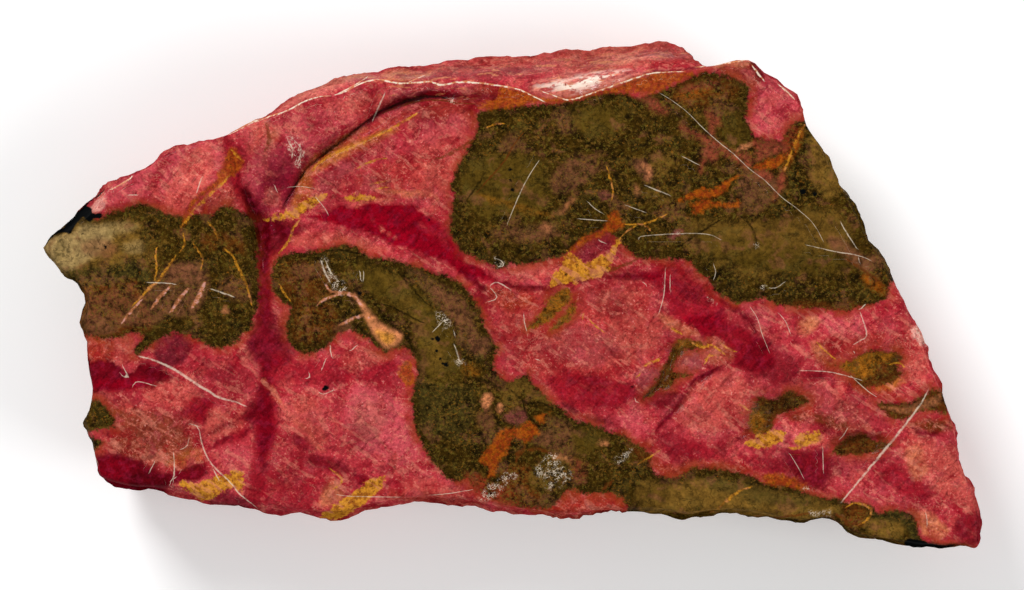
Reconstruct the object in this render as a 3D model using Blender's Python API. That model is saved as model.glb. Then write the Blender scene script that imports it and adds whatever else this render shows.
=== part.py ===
"""Rhodonite specimen: one broken piece of rose-pink stone, lying on its flat back.

The stone is a single solid.  Its upper side is a smooth, gently uneven face with ledges,
crevices, hollows and lobes.  Along the far edge a rough strip slopes down from the face to the
shoulder, where the stone is widest.  Below the shoulder the sides are broken rock: a few large
break planes that draw in towards the back, scalloped by many small scoops.

Frame: the origin is under the middle of the stone, on the surface that it lies on.  +X runs
along the stone, +Y across it, +Z up.  All design values are in millimetres.
"""
import math
import random

import bmesh
import bpy
from mathutils import Vector, noise
from mathutils.geometry import delaunay_2d_cdt, intersect_point_line

STONE_NAME = "rhodonite_stone"
COLLECTION_NAME = "rhodonite"
METRES_PER_MM = 0.001

# Driving sizes
FACE_LEVEL = 17.0            # height of the smooth face where nothing raises or lowers it
STATION_SPACING = 1.85       # along the stone's edge
FACE_SPACING = 2.05          # between the points of the smooth face
STRIP_SHARES = (0.35, 0.7)   # where the points between the face's rim and the shoulder lie
STRIP_ROUNDING = 1.4         # 1 is a straight bevel, more is rounder at the face
STRIP_SCOOPING = 0.3         # share of a scoop's depth that shows on the strip
WALL_STEPS = 7               # bands of faces between the shoulder and the back
UNDERCUT = 2.0               # least distance of the back's edge inside the shoulder
SHOULDER_WANDER = 2.8        # how much further down the shoulder lies in places
WANDER_LENGTH = 11.0         # distance over which it does so
EDGE_CLEARANCE = 1.0         # free width between the face's own points and its rim
LINE_CLEARANCE = 1.0         # and between them and the lines of ledges and crevices

# The line through the middle of the stone, towards which its edge is drawn in
SPINE = (Vector((-36.0, -2.0)), Vector((34.0, -8.0)))

# The stone's edge, clockwise from its left tip.  Each row is x, y of the shoulder, then how
# far in from it the smooth face starts, and how far below the face's rim the shoulder lies.
EDGE = (
    (-60.1, 6.0, 1.0, 2.2), (-58.6, 8.2, 1.6, 2.6), (-56.5, 10.2, 1.9, 2.8), (-54.2, 12.4, 1.9, 2.6),
    (-52.0, 14.3, 1.3, 2.0), (-49.0, 15.4, 0.8, 1.4), (-46.5, 16.7, 0.7, 1.3), (-44.5, 18.4, 0.7, 1.3),
    (-42.5, 19.2, 0.7, 1.3), (-38.5, 20.0, 0.5, 1.4), (-35.0, 21.2, 0.5, 1.8), (-32.0, 22.6, 0.7, 2.4),
    (-30.0, 24.3, 1.4, 2.8), (-27.0, 25.8, 1.4, 3.2), (-24.5, 26.8, 1.5, 3.6), (-22.5, 27.9, 2.2, 4.2),
    (-20.0, 28.3, 2.0, 4.4), (-15.0, 29.3, 2.2, 4.6), (-8.0, 30.1, 3.0, 5.0), (-2.0, 30.7, 3.9, 5.2),
    (3.0, 31.1, 5.5, 5.8), (6.0, 31.5, 6.3, 6.4), (9.0, 31.3, 5.9, 6.6), (14.0, 32.0, 4.7, 6.2),
    (18.0, 32.5, 4.2, 5.8), (22.0, 31.9, 3.6, 5.0), (23.4, 30.6, 2.0, 3.6), (24.5, 29.5, 0.9, 2.4),
    (26.5, 29.7, 0.6, 1.8), (29.0, 30.3, 0.6, 1.6), (30.8, 30.1, 0.8, 1.6), (32.0, 28.4, 0.7, 1.4),
    (33.5, 27.4, 0.6, 1.3), (35.5, 25.7, 0.6, 1.3), (36.7, 24.2, 0.6, 1.3), (37.3, 22.0, 0.7, 1.4),
    (39.0, 19.5, 0.7, 1.4), (40.3, 16.8, 0.7, 1.4), (42.2, 13.6, 0.7, 1.4), (44.2, 9.8, 0.7, 1.4),
    (45.5, 7.2, 0.7, 1.4), (46.9, 5.4, 0.7, 1.4), (48.3, 2.1, 0.7, 1.4), (49.4, 0.0, 0.7, 1.4),
    (50.5, -2.4, 0.9, 1.6), (51.7, -4.2, 1.3, 1.8), (52.5, -6.0, 1.1, 1.8), (53.1, -8.0, 0.8, 1.6),
    (53.9, -10.2, 0.7, 1.4), (55.0, -12.6, 0.7, 1.4), (55.8, -14.8, 0.8, 1.5), (56.5, -17.0, 0.8, 1.6),
    (56.8, -19.5, 0.8, 1.6), (57.1, -22.0, 0.7, 1.5), (57.4, -23.1, 0.7, 1.5), (58.1, -24.0, 0.8, 1.5),
    (58.8, -25.6, 0.8, 1.6), (59.2, -27.6, 0.8, 1.6), (59.7, -29.2, 0.9, 1.7), (59.6, -31.6, 0.9, 1.8),
    (59.1, -32.4, 0.9, 1.8), (57.5, -32.2, 0.9, 1.8), (54.5, -32.4, 1.0, 1.8), (50.5, -32.1, 1.1, 1.9),
    (46.5, -31.6, 1.1, 1.9), (43.2, -30.9, 1.1, 1.9), (41.6, -29.7, 1.0, 1.8), (40.2, -28.8, 0.9, 1.7),
    (38.6, -29.1, 0.9, 1.7), (36.5, -29.4, 1.0, 1.8), (34.0, -29.0, 1.0, 1.8), (30.5, -28.3, 1.0, 1.8),
    (26.5, -28.0, 1.0, 1.8), (24.4, -28.3, 1.1, 1.8), (22.2, -28.7, 1.2, 2.0), (19.5, -28.3, 1.2, 2.0),
    (16.5, -27.9, 1.1, 1.9), (12.5, -28.1, 1.1, 1.9), (9.0, -28.5, 1.2, 2.0), (7.0, -28.7, 1.2, 2.0),
    (2.0, -28.4, 1.3, 2.0), (-2.0, -27.8, 1.3, 2.0), (-6.0, -27.1, 1.3, 2.0), (-11.5, -26.7, 1.3, 2.0),
    (-15.5, -27.1, 1.3, 2.0), (-18.0, -27.7, 1.3, 2.0), (-21.5, -28.6, 1.2, 2.0), (-24.0, -28.6, 1.2, 2.0),
    (-29.0, -28.1, 1.3, 2.0), (-33.5, -27.5, 1.4, 2.1), (-37.5, -27.0, 1.5, 2.2), (-42.0, -25.9, 1.4, 2.1),
    (-44.5, -25.2, 1.2, 1.9), (-48.5, -25.0, 1.1, 1.8), (-51.5, -24.3, 1.1, 1.8), (-53.0, -23.6, 1.0, 1.7),
    (-53.5, -21.5, 0.9, 1.6), (-54.0, -19.0, 0.9, 1.6), (-54.6, -17.3, 0.9, 1.6), (-55.1, -16.5, 1.0, 1.7),
    (-54.4, -15.0, 0.9, 1.6), (-54.0, -12.2, 0.8, 1.5), (-54.5, -9.5, 0.8, 1.5), (-54.8, -6.0, 0.8, 1.5),
    (-55.3, -3.5, 1.0, 1.7), (-54.8, -2.0, 0.9, 1.6), (-54.8, 0.0, 0.9, 1.6), (-56.2, 1.7, 1.0, 1.8),
    (-58.2, 3.4, 1.0, 2.0), (-59.6, 4.8, 1.0, 2.2),
)

# Ledges: the route of the upper lip, the drop on its left side, and how far out it fades
LEDGES = (
    (((-31.6, 9.7), (-28.6, 11.4), (-27.2, 14.2), (-25.2, 16.7), (-21.8, 18.6), (-18.0, 20.3),
      (-14.6, 22.6), (-11.5, 23.9), (-7.5, 24.2), (-3.0, 24.6), (2.5, 25.0)), 1.1, 7.0),
    (((27.0, -19.3), (28.6, -18.0), (30.2, -17.3), (32.3, -17.2), (33.6, -15.6), (35.6, -14.9),
      (38.0, -14.3), (41.0, -15.2)), 0.8, 4.0),
)

# Crevices: the route of the bottom, its depth, and half its width at the face
CREVICES = (
    (((-30.2, 10.8), (-28.2, 13.2), (-26.6, 15.9), (-24.2, 18.1), (-20.5, 20.7), (-17.2, 23.0),
      (-13.4, 24.6), (-9.0, 25.2), (-4.5, 25.0)), 0.8, 0.9),
    (((26.6, -8.9), (24.2, -10.2), (22.6, -12.0), (21.2, -14.0), (19.6, -15.4), (18.2, -17.0)), 0.7, 0.8),
    (((21.2, -5.6), (20.2, -7.6), (19.6, -10.2), (18.2, -12.0), (16.4, -13.2)), 0.8, 0.9),
    (((-36.9, 20.0), (-35.0, 18.0), (-34.4, 15.0), (-33.4, 12.2), (-32.3, 9.6), (-32.0, 6.0),
      (-31.5, 2.0)), 0.9, 1.3),
    (((40.2, -19.6), (42.4, -18.4), (45.0, -18.3), (47.6, -19.2)), 0.7, 0.9),
    (((50.2, -16.8), (52.6, -17.2), (55.2, -16.6)), 0.6, 0.8),
)

# Swells and hollows of the face: x, y of the middle, half length, half width, turn in
# degrees, and the rise, which is negative for a hollow
SWELLS = (
    (-32.0, 9.5, 4.6, 1.9, 95.0, -1.5),      # dark notch where the pink bands meet
    (-34.2, 16.5, 6.5, 2.6, 105.0, -0.9),    # valley up from the notch to the far edge
    (-17.5, 8.6, 10.5, 2.9, -8.0, -0.9),     # smooth crimson lens
    (-7.0, 4.0, 7.0, 2.2, -38.0, -0.6),      # its tail towards the middle
    (-27.0, 21.0, 9.0, 3.6, 33.0, 0.9),      # rounded band outside the ledge
    (-16.0, 16.5, 9.5, 5.0, 22.0, 0.6),      # flat inner layer
    (24.5, -14.2, 6.6, 4.6, 38.0, 1.2),      # lobe right of the groove
    (22.2, -8.8, 2.6, 1.6, 10.0, 0.6),       # small lobe in the brown pit
    (16.8, -10.8, 3.0, 1.8, 35.0, 0.5),      # lobe left of the brown pit
    (20.0, -7.0, 2.2, 1.4, 60.0, -0.8),      # brown pit
    (32.6, -14.3, 3.6, 1.7, -12.0, -1.1),    # pit under the second ledge
    (36.0, -18.0, 5.2, 2.0, 12.0, 0.8),      # gold-flecked lobe below it
    (47.0, -9.6, 3.4, 2.2, -20.0, -0.8),     # shallow rusty hollow
    (50.2, -14.4, 4.2, 1.5, 8.0, -0.5),      # grained hollow by the right edge
    (43.6, -18.6, 4.0, 1.5, 2.0, -0.8),      # dark hollow
    (51.5, -22.0, 6.0, 4.0, -60.0, 0.9),     # rounded right shoulder
    (8.0, -8.0, 11.0, 6.0, -32.0, 1.1),      # broad pink swell
    (10.0, 14.0, 17.0, 9.0, -8.0, 1.3),      # broad dark swell
    (32.0, 8.0, 12.0, 6.0, -35.0, 0.3),      # its right end
    (-47.0, 2.0, 8.0, 6.0, 15.0, 1.0),       # left dark knob
    (-20.0, -16.0, 11.0, 6.0, 30.0, 0.9),    # lower pink swell
    (-33.5, -17.0, 6.0, 2.4, 75.0, -0.9),    # crimson trough left of it
    (-46.0, -13.5, 7.0, 3.0, 12.0, 0.8),     # lower left swell
    (-44.0, -7.0, 6.0, 2.0, -12.0, -0.6),    # hollow along the left scratch
    (-9.0, -8.0, 12.0, 3.6, -52.0, 0.5),     # dark arm
    (-58.0, 4.0, 15.0, 14.0, 0.0, -2.2),     # the left end falls away
    (54.0, -30.0, 14.0, 9.0, -40.0, -1.2),   # and so does the right corner
    (-12.0, -28.0, 22.0, 7.0, 0.0, -1.4),    # shallow dip along the near edge
    (44.0, 14.0, 9.0, 12.0, 30.0, -0.9),     # the right edge falls away a little
    (30.0, -30.0, 16.0, 6.0, 0.0, -0.8),     # and the near edge by the dark band
)

# Large break planes under the shoulder: x, y and height of the point where each one meets the
# stone's edge, the direction it faces in degrees, how far it draws in for each mm down, and
# half its length along the edge
BREAKS = (
    (-59.0, 6.0, 12.0, 176.0, 0.8, 5.0), (-50.0, 15.0, 9.0, 124.0, 0.7, 9.0),
    (-33.0, 22.0, 11.0, 112.0, 0.45, 10.0), (-12.0, 29.8, 6.0, 97.0, 1.1, 12.0),
    (14.0, 32.0, 9.0, 86.0, 0.45, 13.0), (28.0, 30.2, 7.0, 62.0, 1.0, 6.0),
    (39.0, 19.5, 12.0, 31.0, 0.35, 9.0), (47.0, 5.2, 6.5, 24.0, 1.2, 9.0),
    (54.5, -11.5, 11.0, 26.0, 0.4, 11.0), (59.4, -28.5, 8.0, 2.0, 0.75, 6.0),
    (50.0, -32.0, 9.5, -84.0, 0.5, 9.0), (31.0, -28.4, 5.5, -90.0, 1.1, 9.0),
    (10.0, -28.4, 12.0, -94.0, 0.3, 12.0), (-13.0, -26.8, 7.0, -88.0, 1.0, 10.0),
    (-32.0, -27.7, 11.5, -101.0, 0.4, 11.0), (-49.0, -25.0, 6.5, -112.0, 1.0, 7.0),
    (-54.4, -13.0, 11.0, 184.0, 0.4, 8.0), (-55.0, -2.0, 8.0, 170.0, 0.9, 4.0),
)
BREAK_FALLOFF = 0.45         # how fast a break plane recedes beyond its half length

# Scoops of broken rock, scattered over the sides
SCOOP_SEED = 7
SCOOP_COUNT = 120
SCOOP_RADII = (2.6, 8.5)     # curvature of the shallowest and of the deepest scoops
SCOOP_DEPTHS = (0.4, 2.5)

# Fine unevenness of the face
RIPPLE_SIZE = 13.0
RIPPLE_RISE = 0.45
GRAIN_SIZE = 4.2
GRAIN_RISE = 0.12


# ---------------------------------------------------------------- curves and distances

def catmull_rom(before, start, end, after, share):
    """Point at a share of the way from start to end on the smooth curve through four rows."""
    point = []
    for a, b, c, d in zip(before, start, end, after):
        slope = c - a
        bend = 2 * a - 5 * b + 4 * c - d
        twist = 3 * b - a - 3 * c + d
        point.append(b + 0.5 * share * (slope + share * (bend + share * twist)))
    return point


def smooth_closed_curve(rows, spacing):
    """Rows spread evenly along the closed smooth curve through the given rows."""
    points = []
    count = len(rows)
    for index, start in enumerate(rows):
        before = rows[index - 1]
        end = rows[(index + 1) % count]
        after = rows[(index + 2) % count]
        length = math.dist(start[:2], end[:2])
        steps = max(1, round(length / spacing))
        for step in range(steps):
            points.append(catmull_rom(before, start, end, after, step / steps))
    return points


def smooth_open_route(route, spacing):
    """Points along the smooth curve through an open route."""
    rows = [route[0], *route, route[-1]]
    points = []
    for index in range(1, len(rows) - 2):
        length = math.dist(rows[index], rows[index + 1])
        steps = max(1, round(length / spacing))
        for step in range(steps):
            share = step / steps
            points.append(Vector(catmull_rom(*rows[index - 1:index + 3], share)))
    points.append(Vector(route[-1]))
    return points


def smoothstep(low, high, value):
    share = min(max((value - low) / (high - low), 0.0), 1.0)
    return share * share * (3.0 - 2.0 * share)


def route_place(point, route):
    """Distance to a route, the side (left is positive), and the share of the way along it."""
    best = (math.inf, 1.0, 0.0)
    for index in range(len(route) - 1):
        start, end = route[index], route[index + 1]
        _, share = intersect_point_line(point, start, end)
        share = min(max(share, 0.0), 1.0)
        foot = start.lerp(end, share)
        distance = (point - foot).length
        if distance < best[0]:
            along = end - start
            side = 1.0 if along.cross(point - foot) > 0.0 else -1.0
            best = (distance, side, (index + share) / (len(route) - 1))
    return best


def fade_at_ends(share, reach=0.16):
    """1 along a route, falling to 0 at both of its ends."""
    return smoothstep(0.0, reach, share) * smoothstep(0.0, reach, 1.0 - share)


# ---------------------------------------------------------------- the smooth upper face

LEDGE_ROUTES = [smooth_open_route(route, 1.5) for route, _, _ in LEDGES]
CREVICE_ROUTES = [smooth_open_route(route, 1.5) for route, _, _ in CREVICES]
LEDGE_LIP = 0.35             # half the width over which a ledge falls


def swell_height(x, y):
    total = 0.0
    for middle_x, middle_y, half_length, half_width, turn, rise in SWELLS:
        offset = Vector((x - middle_x, y - middle_y))
        along = Vector((math.cos(math.radians(turn)), math.sin(math.radians(turn))))
        reach = (offset.dot(along) / half_length) ** 2 + (offset.cross(along) / half_width) ** 2
        total += rise * math.exp(-reach)
    return total


def ledge_height(point):
    total = 0.0
    for route, (_, drop, fade) in zip(LEDGE_ROUTES, LEDGES):
        distance, side, share = route_place(point, route)
        outside = distance * side
        fall = smoothstep(-LEDGE_LIP, LEDGE_LIP, outside)
        recover = 1.0 - smoothstep(0.0, fade, outside)
        total -= drop * fall * recover * fade_at_ends(share)
    return total


def crevice_height(point):
    total = 0.0
    for route, (_, depth, half_width) in zip(CREVICE_ROUTES, CREVICES):
        distance, _, share = route_place(point, route)
        total -= depth * max(0.0, 1.0 - distance / half_width) * fade_at_ends(share)
    return total


def ripple_height(x, y):
    ripple = noise.noise(Vector((x, y, 3.0)) / RIPPLE_SIZE)
    grain = noise.noise(Vector((x, y, 8.0)) / GRAIN_SIZE)
    return RIPPLE_RISE * ripple + GRAIN_RISE * grain


def face_height(x, y):
    point = Vector((x, y))
    relief = swell_height(x, y) + ledge_height(point) + crevice_height(point) + ripple_height(x, y)
    return FACE_LEVEL + relief


# ---------------------------------------------------------------- the broken sides

def inward_direction(point):
    """Unit direction from a point of the edge towards the stone's middle line."""
    foot, share = intersect_point_line(point, *SPINE)
    if share < 0.0:
        foot = SPINE[0]
    elif share > 1.0:
        foot = SPINE[1]
    return (Vector(foot[:2]) - point).normalized()


def scatter_scoops():
    """Middle, depth and radius of each scoop in the broken sides."""
    draw = random.Random(SCOOP_SEED)
    edge = smooth_closed_curve(EDGE, STATION_SPACING)
    scoops = []
    for _ in range(SCOOP_COUNT):
        x, y, _, _ = draw.choice(edge)
        size = draw.random()
        depth = SCOOP_DEPTHS[0] + (SCOOP_DEPTHS[1] - SCOOP_DEPTHS[0]) * size
        radius = SCOOP_RADII[0] + (SCOOP_RADII[1] - SCOOP_RADII[0]) * size
        scoops.append((Vector((x, y, draw.uniform(-1.0, FACE_LEVEL))), depth, radius))
    return scoops


SCOOPS = scatter_scoops()


def scoop_depth(place):
    """How far the deepest scoop cuts in at a place; scoops meet in sharp ridges."""
    deepest = 0.0
    for middle, depth, radius in SCOOPS:
        deepest = max(deepest, depth - (place - middle).length_squared / (2.0 * radius))
    return deepest


def break_inset(point, inward, height):
    """How far in the break planes push a point of the edge at a height."""
    inset = 0.0
    for x, y, top, facing, lean, half_length in BREAKS:
        outward = Vector((math.cos(math.radians(facing)), math.sin(math.radians(facing))))
        closing = -outward.dot(inward)
        if height < top and closing > 0.3:
            offset = point - Vector((x, y))
            beyond = max(0.0, abs(outward.cross(offset)) - half_length)
            excess = min(0.0, outward.dot(offset)) + lean * (top - height) - BREAK_FALLOFF * beyond
            inset = max(inset, excess / closing)
    return inset


def station_rings(x, y, bevel, drop):
    """The points down one station of the edge, from the face's rim to the back's edge."""
    shoulder = Vector((x, y))
    inward = inward_direction(shoulder)
    rim = shoulder + inward * bevel
    rim_height = face_height(rim.x, rim.y)
    wander = noise.noise(Vector((x, y, 31.0)) / WANDER_LENGTH)
    drop += SHOULDER_WANDER * max(0.0, wander + 0.25)
    shoulder_height = rim_height - drop
    rings = [Vector((rim.x, rim.y, rim_height))]

    for share in STRIP_SHARES:
        place = rim.lerp(shoulder, share).to_3d()
        place.z = rim_height - drop * share ** STRIP_ROUNDING
        place.z -= STRIP_SCOOPING * min(scoop_depth(place), drop)
        rings.append(place)
    rings.append(Vector((x, y, shoulder_height)))

    for step in range(1, WALL_STEPS + 1):
        share = step / WALL_STEPS
        place = Vector((x, y, shoulder_height * (1.0 - share)))
        inset = max(UNDERCUT * share, break_inset(shoulder, inward, place.z))
        inset += scoop_depth(place)
        place.xy += inward * inset
        rings.append(place)
    return rings


# ---------------------------------------------------------------- building the solid

def inside_outline(point, outline):
    inside = False
    for index, end in enumerate(outline):
        start = outline[index - 1]
        if (start.y > point.y) != (end.y > point.y):
            crossing = start.x + (point.y - start.y) / (end.y - start.y) * (end.x - start.x)
            if point.x < crossing:
                inside = not inside
    return inside


def triangle_grid(outline, spacing):
    """Points of a triangular grid inside an outline, clear of its edge."""
    closed = outline + outline[:1]
    row_height = spacing * math.sqrt(0.75)
    low_x, high_x = min(p.x for p in outline), max(p.x for p in outline)
    low_y, high_y = min(p.y for p in outline), max(p.y for p in outline)
    points = []
    for row in range(math.ceil((high_y - low_y) / row_height)):
        shift = 0.5 * spacing * (row % 2)
        for column in range(math.ceil((high_x - low_x) / spacing)):
            point = Vector((low_x + shift + column * spacing, low_y + row * row_height))
            if inside_outline(point, outline) and route_place(point, closed)[0] > EDGE_CLEARANCE:
                points.append(point)
    return points


def parallel_rows(route, offsets):
    """Points beside a route, one row for each offset to its left."""
    rows = []
    for index, point in enumerate(route):
        before, after = route[max(index - 1, 0)], route[min(index + 1, len(route) - 1)]
        along = (after - before).normalized()
        left = Vector((-along.y, along.x))
        rows.extend(point + left * offset for offset in offsets)
    return rows


def feature_points():
    """Rows of points on the ledges and crevices, so that their lips stay sharp."""
    points = []
    for route in LEDGE_ROUTES:
        points.extend(parallel_rows(route, (-LEDGE_LIP, LEDGE_LIP)))
    for route, (_, _, half_width) in zip(CREVICE_ROUTES, CREVICES):
        points.extend(parallel_rows(route, (-half_width, 0.0, half_width)))
    return points


def thin_out(points, kept, clearance):
    """Points that are at least the clearance away from every kept point."""
    limit = clearance * clearance
    return [p for p in points if all((p - k).length_squared > limit for k in kept)]


def face_points(rim):
    closed = rim + rim[:1]
    lines = []
    for point in feature_points():
        clear_of_edge = inside_outline(point, rim) and route_place(point, closed)[0] > 0.6
        if clear_of_edge and all((point - other).length > 0.3 for other in lines):
            lines.append(point)
    return lines + thin_out(triangle_grid(rim, FACE_SPACING), lines, LINE_CLEARANCE)


def fill_outline(outline, inner):
    """Triangles between an outline and the points inside it, as indices into both."""
    count = len(outline)
    edges = [(index, (index + 1) % count) for index in range(count)]
    places, _, triangles, origins, _, _ = delaunay_2d_cdt(outline + inner, edges, [], 0, 1e-6, True)
    if len(places) != count + len(inner):
        raise ValueError("the outline crosses itself")
    filled = []
    for triangle in triangles:
        centre = sum((places[corner] for corner in triangle), Vector((0.0, 0.0))) / 3.0
        if inside_outline(centre, outline):
            filled.append([origins[corner][0] for corner in triangle])
    return filled


def add_wall(mesh, rings):
    """Join neighbouring stations with triangles, ring by ring."""
    for index, right in enumerate(rings):
        left = rings[index - 1]
        for level in range(len(right) - 1):
            corners = (left[level], right[level], right[level + 1], left[level + 1])
            if (corners[0].co - corners[2].co).length < (corners[1].co - corners[3].co).length:
                mesh.faces.new((corners[0], corners[1], corners[2]))
                mesh.faces.new((corners[0], corners[2], corners[3]))
            else:
                mesh.faces.new((corners[0], corners[1], corners[3]))
                mesh.faces.new((corners[1], corners[2], corners[3]))


def add_face(mesh, rim):
    """Close the upper side with triangles over its rim and the points inside it."""
    outline = [vertex.co.to_2d() for vertex in rim]
    inner = face_points(outline)
    vertices = rim + [mesh.verts.new((p.x, p.y, face_height(p.x, p.y))) for p in inner]
    for triangle in fill_outline(outline, inner):
        mesh.faces.new([vertices[corner] for corner in triangle])


def build_stone_mesh():
    mesh = bmesh.new()
    rings = []
    for x, y, bevel, drop in smooth_closed_curve(EDGE, STATION_SPACING):
        rings.append([mesh.verts.new(place) for place in station_rings(x, y, bevel, drop)])
    add_wall(mesh, rings)

    add_face(mesh, [station[0] for station in rings])
    mesh.faces.new([station[-1] for station in rings])

    bmesh.ops.recalc_face_normals(mesh, faces=mesh.faces)
    bmesh.ops.scale(mesh, vec=Vector((1.0, 1.0, 1.0)) * METRES_PER_MM, verts=mesh.verts)
    return mesh


# ---------------------------------------------------------------- the scene

def clear_scene():
    for thing in list(bpy.data.objects):
        bpy.data.objects.remove(thing, do_unlink=True)


def rhodonite_material():
    material = bpy.data.materials.new("rhodonite")
    material.use_nodes = True
    shader = material.node_tree.nodes["Principled BSDF"]
    shader.inputs["Base Color"].default_value = (0.46, 0.06, 0.085, 1.0)
    shader.inputs["Roughness"].default_value = 0.36
    shader.inputs["Metallic"].default_value = 0.0
    material.diffuse_color = (0.46, 0.06, 0.085, 1.0)
    return material


def make_stone(collection):
    solid = build_stone_mesh()
    data = bpy.data.meshes.new(STONE_NAME)
    solid.to_mesh(data)
    solid.free()
    data.materials.append(rhodonite_material())
    stone = bpy.data.objects.new(STONE_NAME, data)
    collection.objects.link(stone)
    return stone


def main():
    clear_scene()
    collection = bpy.data.collections.new(COLLECTION_NAME)
    bpy.context.scene.collection.children.link(collection)
    make_stone(collection)


main()
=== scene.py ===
# %% [markdown]
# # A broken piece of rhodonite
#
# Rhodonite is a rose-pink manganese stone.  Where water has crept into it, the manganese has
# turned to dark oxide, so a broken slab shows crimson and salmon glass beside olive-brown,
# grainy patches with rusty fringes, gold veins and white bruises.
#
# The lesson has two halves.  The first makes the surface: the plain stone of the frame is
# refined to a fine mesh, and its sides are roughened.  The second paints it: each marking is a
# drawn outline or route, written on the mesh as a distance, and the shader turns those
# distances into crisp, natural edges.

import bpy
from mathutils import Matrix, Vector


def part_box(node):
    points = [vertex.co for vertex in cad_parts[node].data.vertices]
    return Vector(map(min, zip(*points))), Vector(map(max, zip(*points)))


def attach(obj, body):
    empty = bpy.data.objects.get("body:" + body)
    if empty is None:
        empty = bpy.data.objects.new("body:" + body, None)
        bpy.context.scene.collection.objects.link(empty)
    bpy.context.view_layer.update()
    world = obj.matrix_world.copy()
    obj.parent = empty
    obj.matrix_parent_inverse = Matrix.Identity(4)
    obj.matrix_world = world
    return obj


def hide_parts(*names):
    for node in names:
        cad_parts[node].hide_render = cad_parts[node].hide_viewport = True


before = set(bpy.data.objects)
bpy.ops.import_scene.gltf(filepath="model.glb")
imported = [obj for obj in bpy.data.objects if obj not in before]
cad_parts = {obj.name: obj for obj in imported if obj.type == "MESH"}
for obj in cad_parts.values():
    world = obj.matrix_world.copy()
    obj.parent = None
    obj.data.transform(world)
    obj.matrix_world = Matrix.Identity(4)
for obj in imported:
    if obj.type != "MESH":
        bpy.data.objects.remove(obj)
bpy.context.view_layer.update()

# %% Modules and units
import math

import bmesh
import bpy
import numpy as np
from mathutils import Vector
from mathutils.geometry import delaunay_2d_cdt

MM = 0.001
STONE = "rhodonite_stone"
low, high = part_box(STONE)
print("stone's box in mm:", [round(v / MM, 1) for v in (*low, *high)])

# %% [markdown]
# ## Three small tools: noise, routes and distances
#
# Stone has no straight lines.  Noise from a fixed table of directions bends whatever is drawn,
# and it gives the same result each run.  A marking is drawn as a string of points, "x,y x,y",
# in millimetres from the middle of the face, and a curve through them fills in the rest.  Its
# distance from every point of the mesh is then worked out in one go with arrays, which is
# hundreds of times quicker than a loop over the points.

# %% Noise that bends and mottles
NOISE_SEED = 11
NOISE_TABLE = 4096
NOISE_GAIN = 1.7
LEVEL_GAIN = 1.6
SEED_SHIFT = 7.31
DIRECTIONS = np.random.default_rng(NOISE_SEED).normal(size=(NOISE_TABLE, 3))
DIRECTIONS /= np.linalg.norm(DIRECTIONS, axis=1)[:, None]
HASHES = np.array((73856093, 19349663, 83492791))


def lumps(points, size, seed):
    """Smooth noise from about -1 to 1 at each point, with lumps of `size` millimetres."""
    cells = points / size + seed * SEED_SHIFT
    base = np.floor(cells).astype(np.int64)
    part = cells - base
    ease = part**3 * (part * (part * 6 - 15) + 10)
    total = np.zeros(len(points))
    for corner in np.ndindex(2, 2, 2):
        picked = np.bitwise_xor.reduce((base + corner) * HASHES, axis=1) & (NOISE_TABLE - 1)
        slope = ((part - corner) * DIRECTIONS[picked]).sum(axis=1)
        total += slope * np.prod(np.where(corner, ease, 1 - ease), axis=1)
    return total * NOISE_GAIN


def rough_lumps(points, size, seed, levels=3):
    """Noise with finer noise on top of it."""
    return sum(lumps(points, size / 2**n, seed + n) / 2**n for n in range(levels)) / LEVEL_GAIN


def step(low_edge, high_edge, value):
    """A soft step from 0 at low_edge to 1 at high_edge."""
    part = np.clip((value - low_edge) / (high_edge - low_edge), 0, 1)
    return part * part * (3 - 2 * part)


print("noise table:", DIRECTIONS.shape)


# %% Curves through drawn points
def curve(drawn, closed=False, pieces=4):
    """A smooth curve through points drawn as "x,y x,y", as an array of points."""
    given = np.array([point.split(",") for point in drawn.split()], float)
    if len(given) < 3 and not closed:
        return np.linspace(given[0], given[-1], pieces + 1)
    if closed:
        padded = np.vstack((given[-1], given, given[:2]))
    else:
        padded = np.vstack((2 * given[0] - given[1], given, 2 * given[-1] - given[-2]))
    share = np.linspace(0, 1, pieces, endpoint=False)[:, None]
    made = []
    for a, b, c, d in zip(padded, padded[1:], padded[2:], padded[3:]):
        made.append(0.5 * (2 * b + (c - a) * share + (2 * a - 5 * b + 4 * c - d) * share**2
                           + (3 * b - a - 3 * c + d) * share**3))
    return np.vstack(made if closed else (*made, given[-1:]))


print("points on a curve through three:", len(curve("0,0 1,1 2,0")))


# %% Distance from a curve
REACH = 3.0


def nearby(flat, route, reach):
    """Which of the points lie within reach of a route's box."""
    inside = (flat > route.min(0) - reach) & (flat < route.max(0) + reach)
    return np.flatnonzero(inside.all(axis=1))


def nearest(flat, route):
    """For each point: distance from a route, side of it, and share of the way along it."""
    best = np.full(len(flat), 1e9)
    side = np.zeros(len(flat))
    along = np.zeros(len(flat))
    lengths = np.linalg.norm(np.diff(route, axis=0), axis=1)
    before = np.concatenate(([0], np.cumsum(lengths)))
    for index, (a, b) in enumerate(zip(route, route[1:])):
        run = b - a
        part = np.clip((flat - a) @ run / max(run @ run, 1e-9), 0, 1)
        gap = flat - a - part[:, None] * run
        distance = np.hypot(gap[:, 0], gap[:, 1])
        nearer = distance < best
        best[nearer] = distance[nearer]
        side[nearer] = (run[0] * gap[:, 1] - run[1] * gap[:, 0])[nearer]
        along[nearer] = (before[index] + part * lengths[index])[nearer]
    return best, np.where(side < 0, -1.0, 1.0), along / before[-1]


SAMPLE = np.array([(1.0, 2.0)])
print("from (1, 2) to a straight line:", *nearest(SAMPLE, np.array([(0.0, 0.0), (4.0, 0.0)])))


# %% Depth inside outlines and lines
END_WIDTH = 0.35


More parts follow.
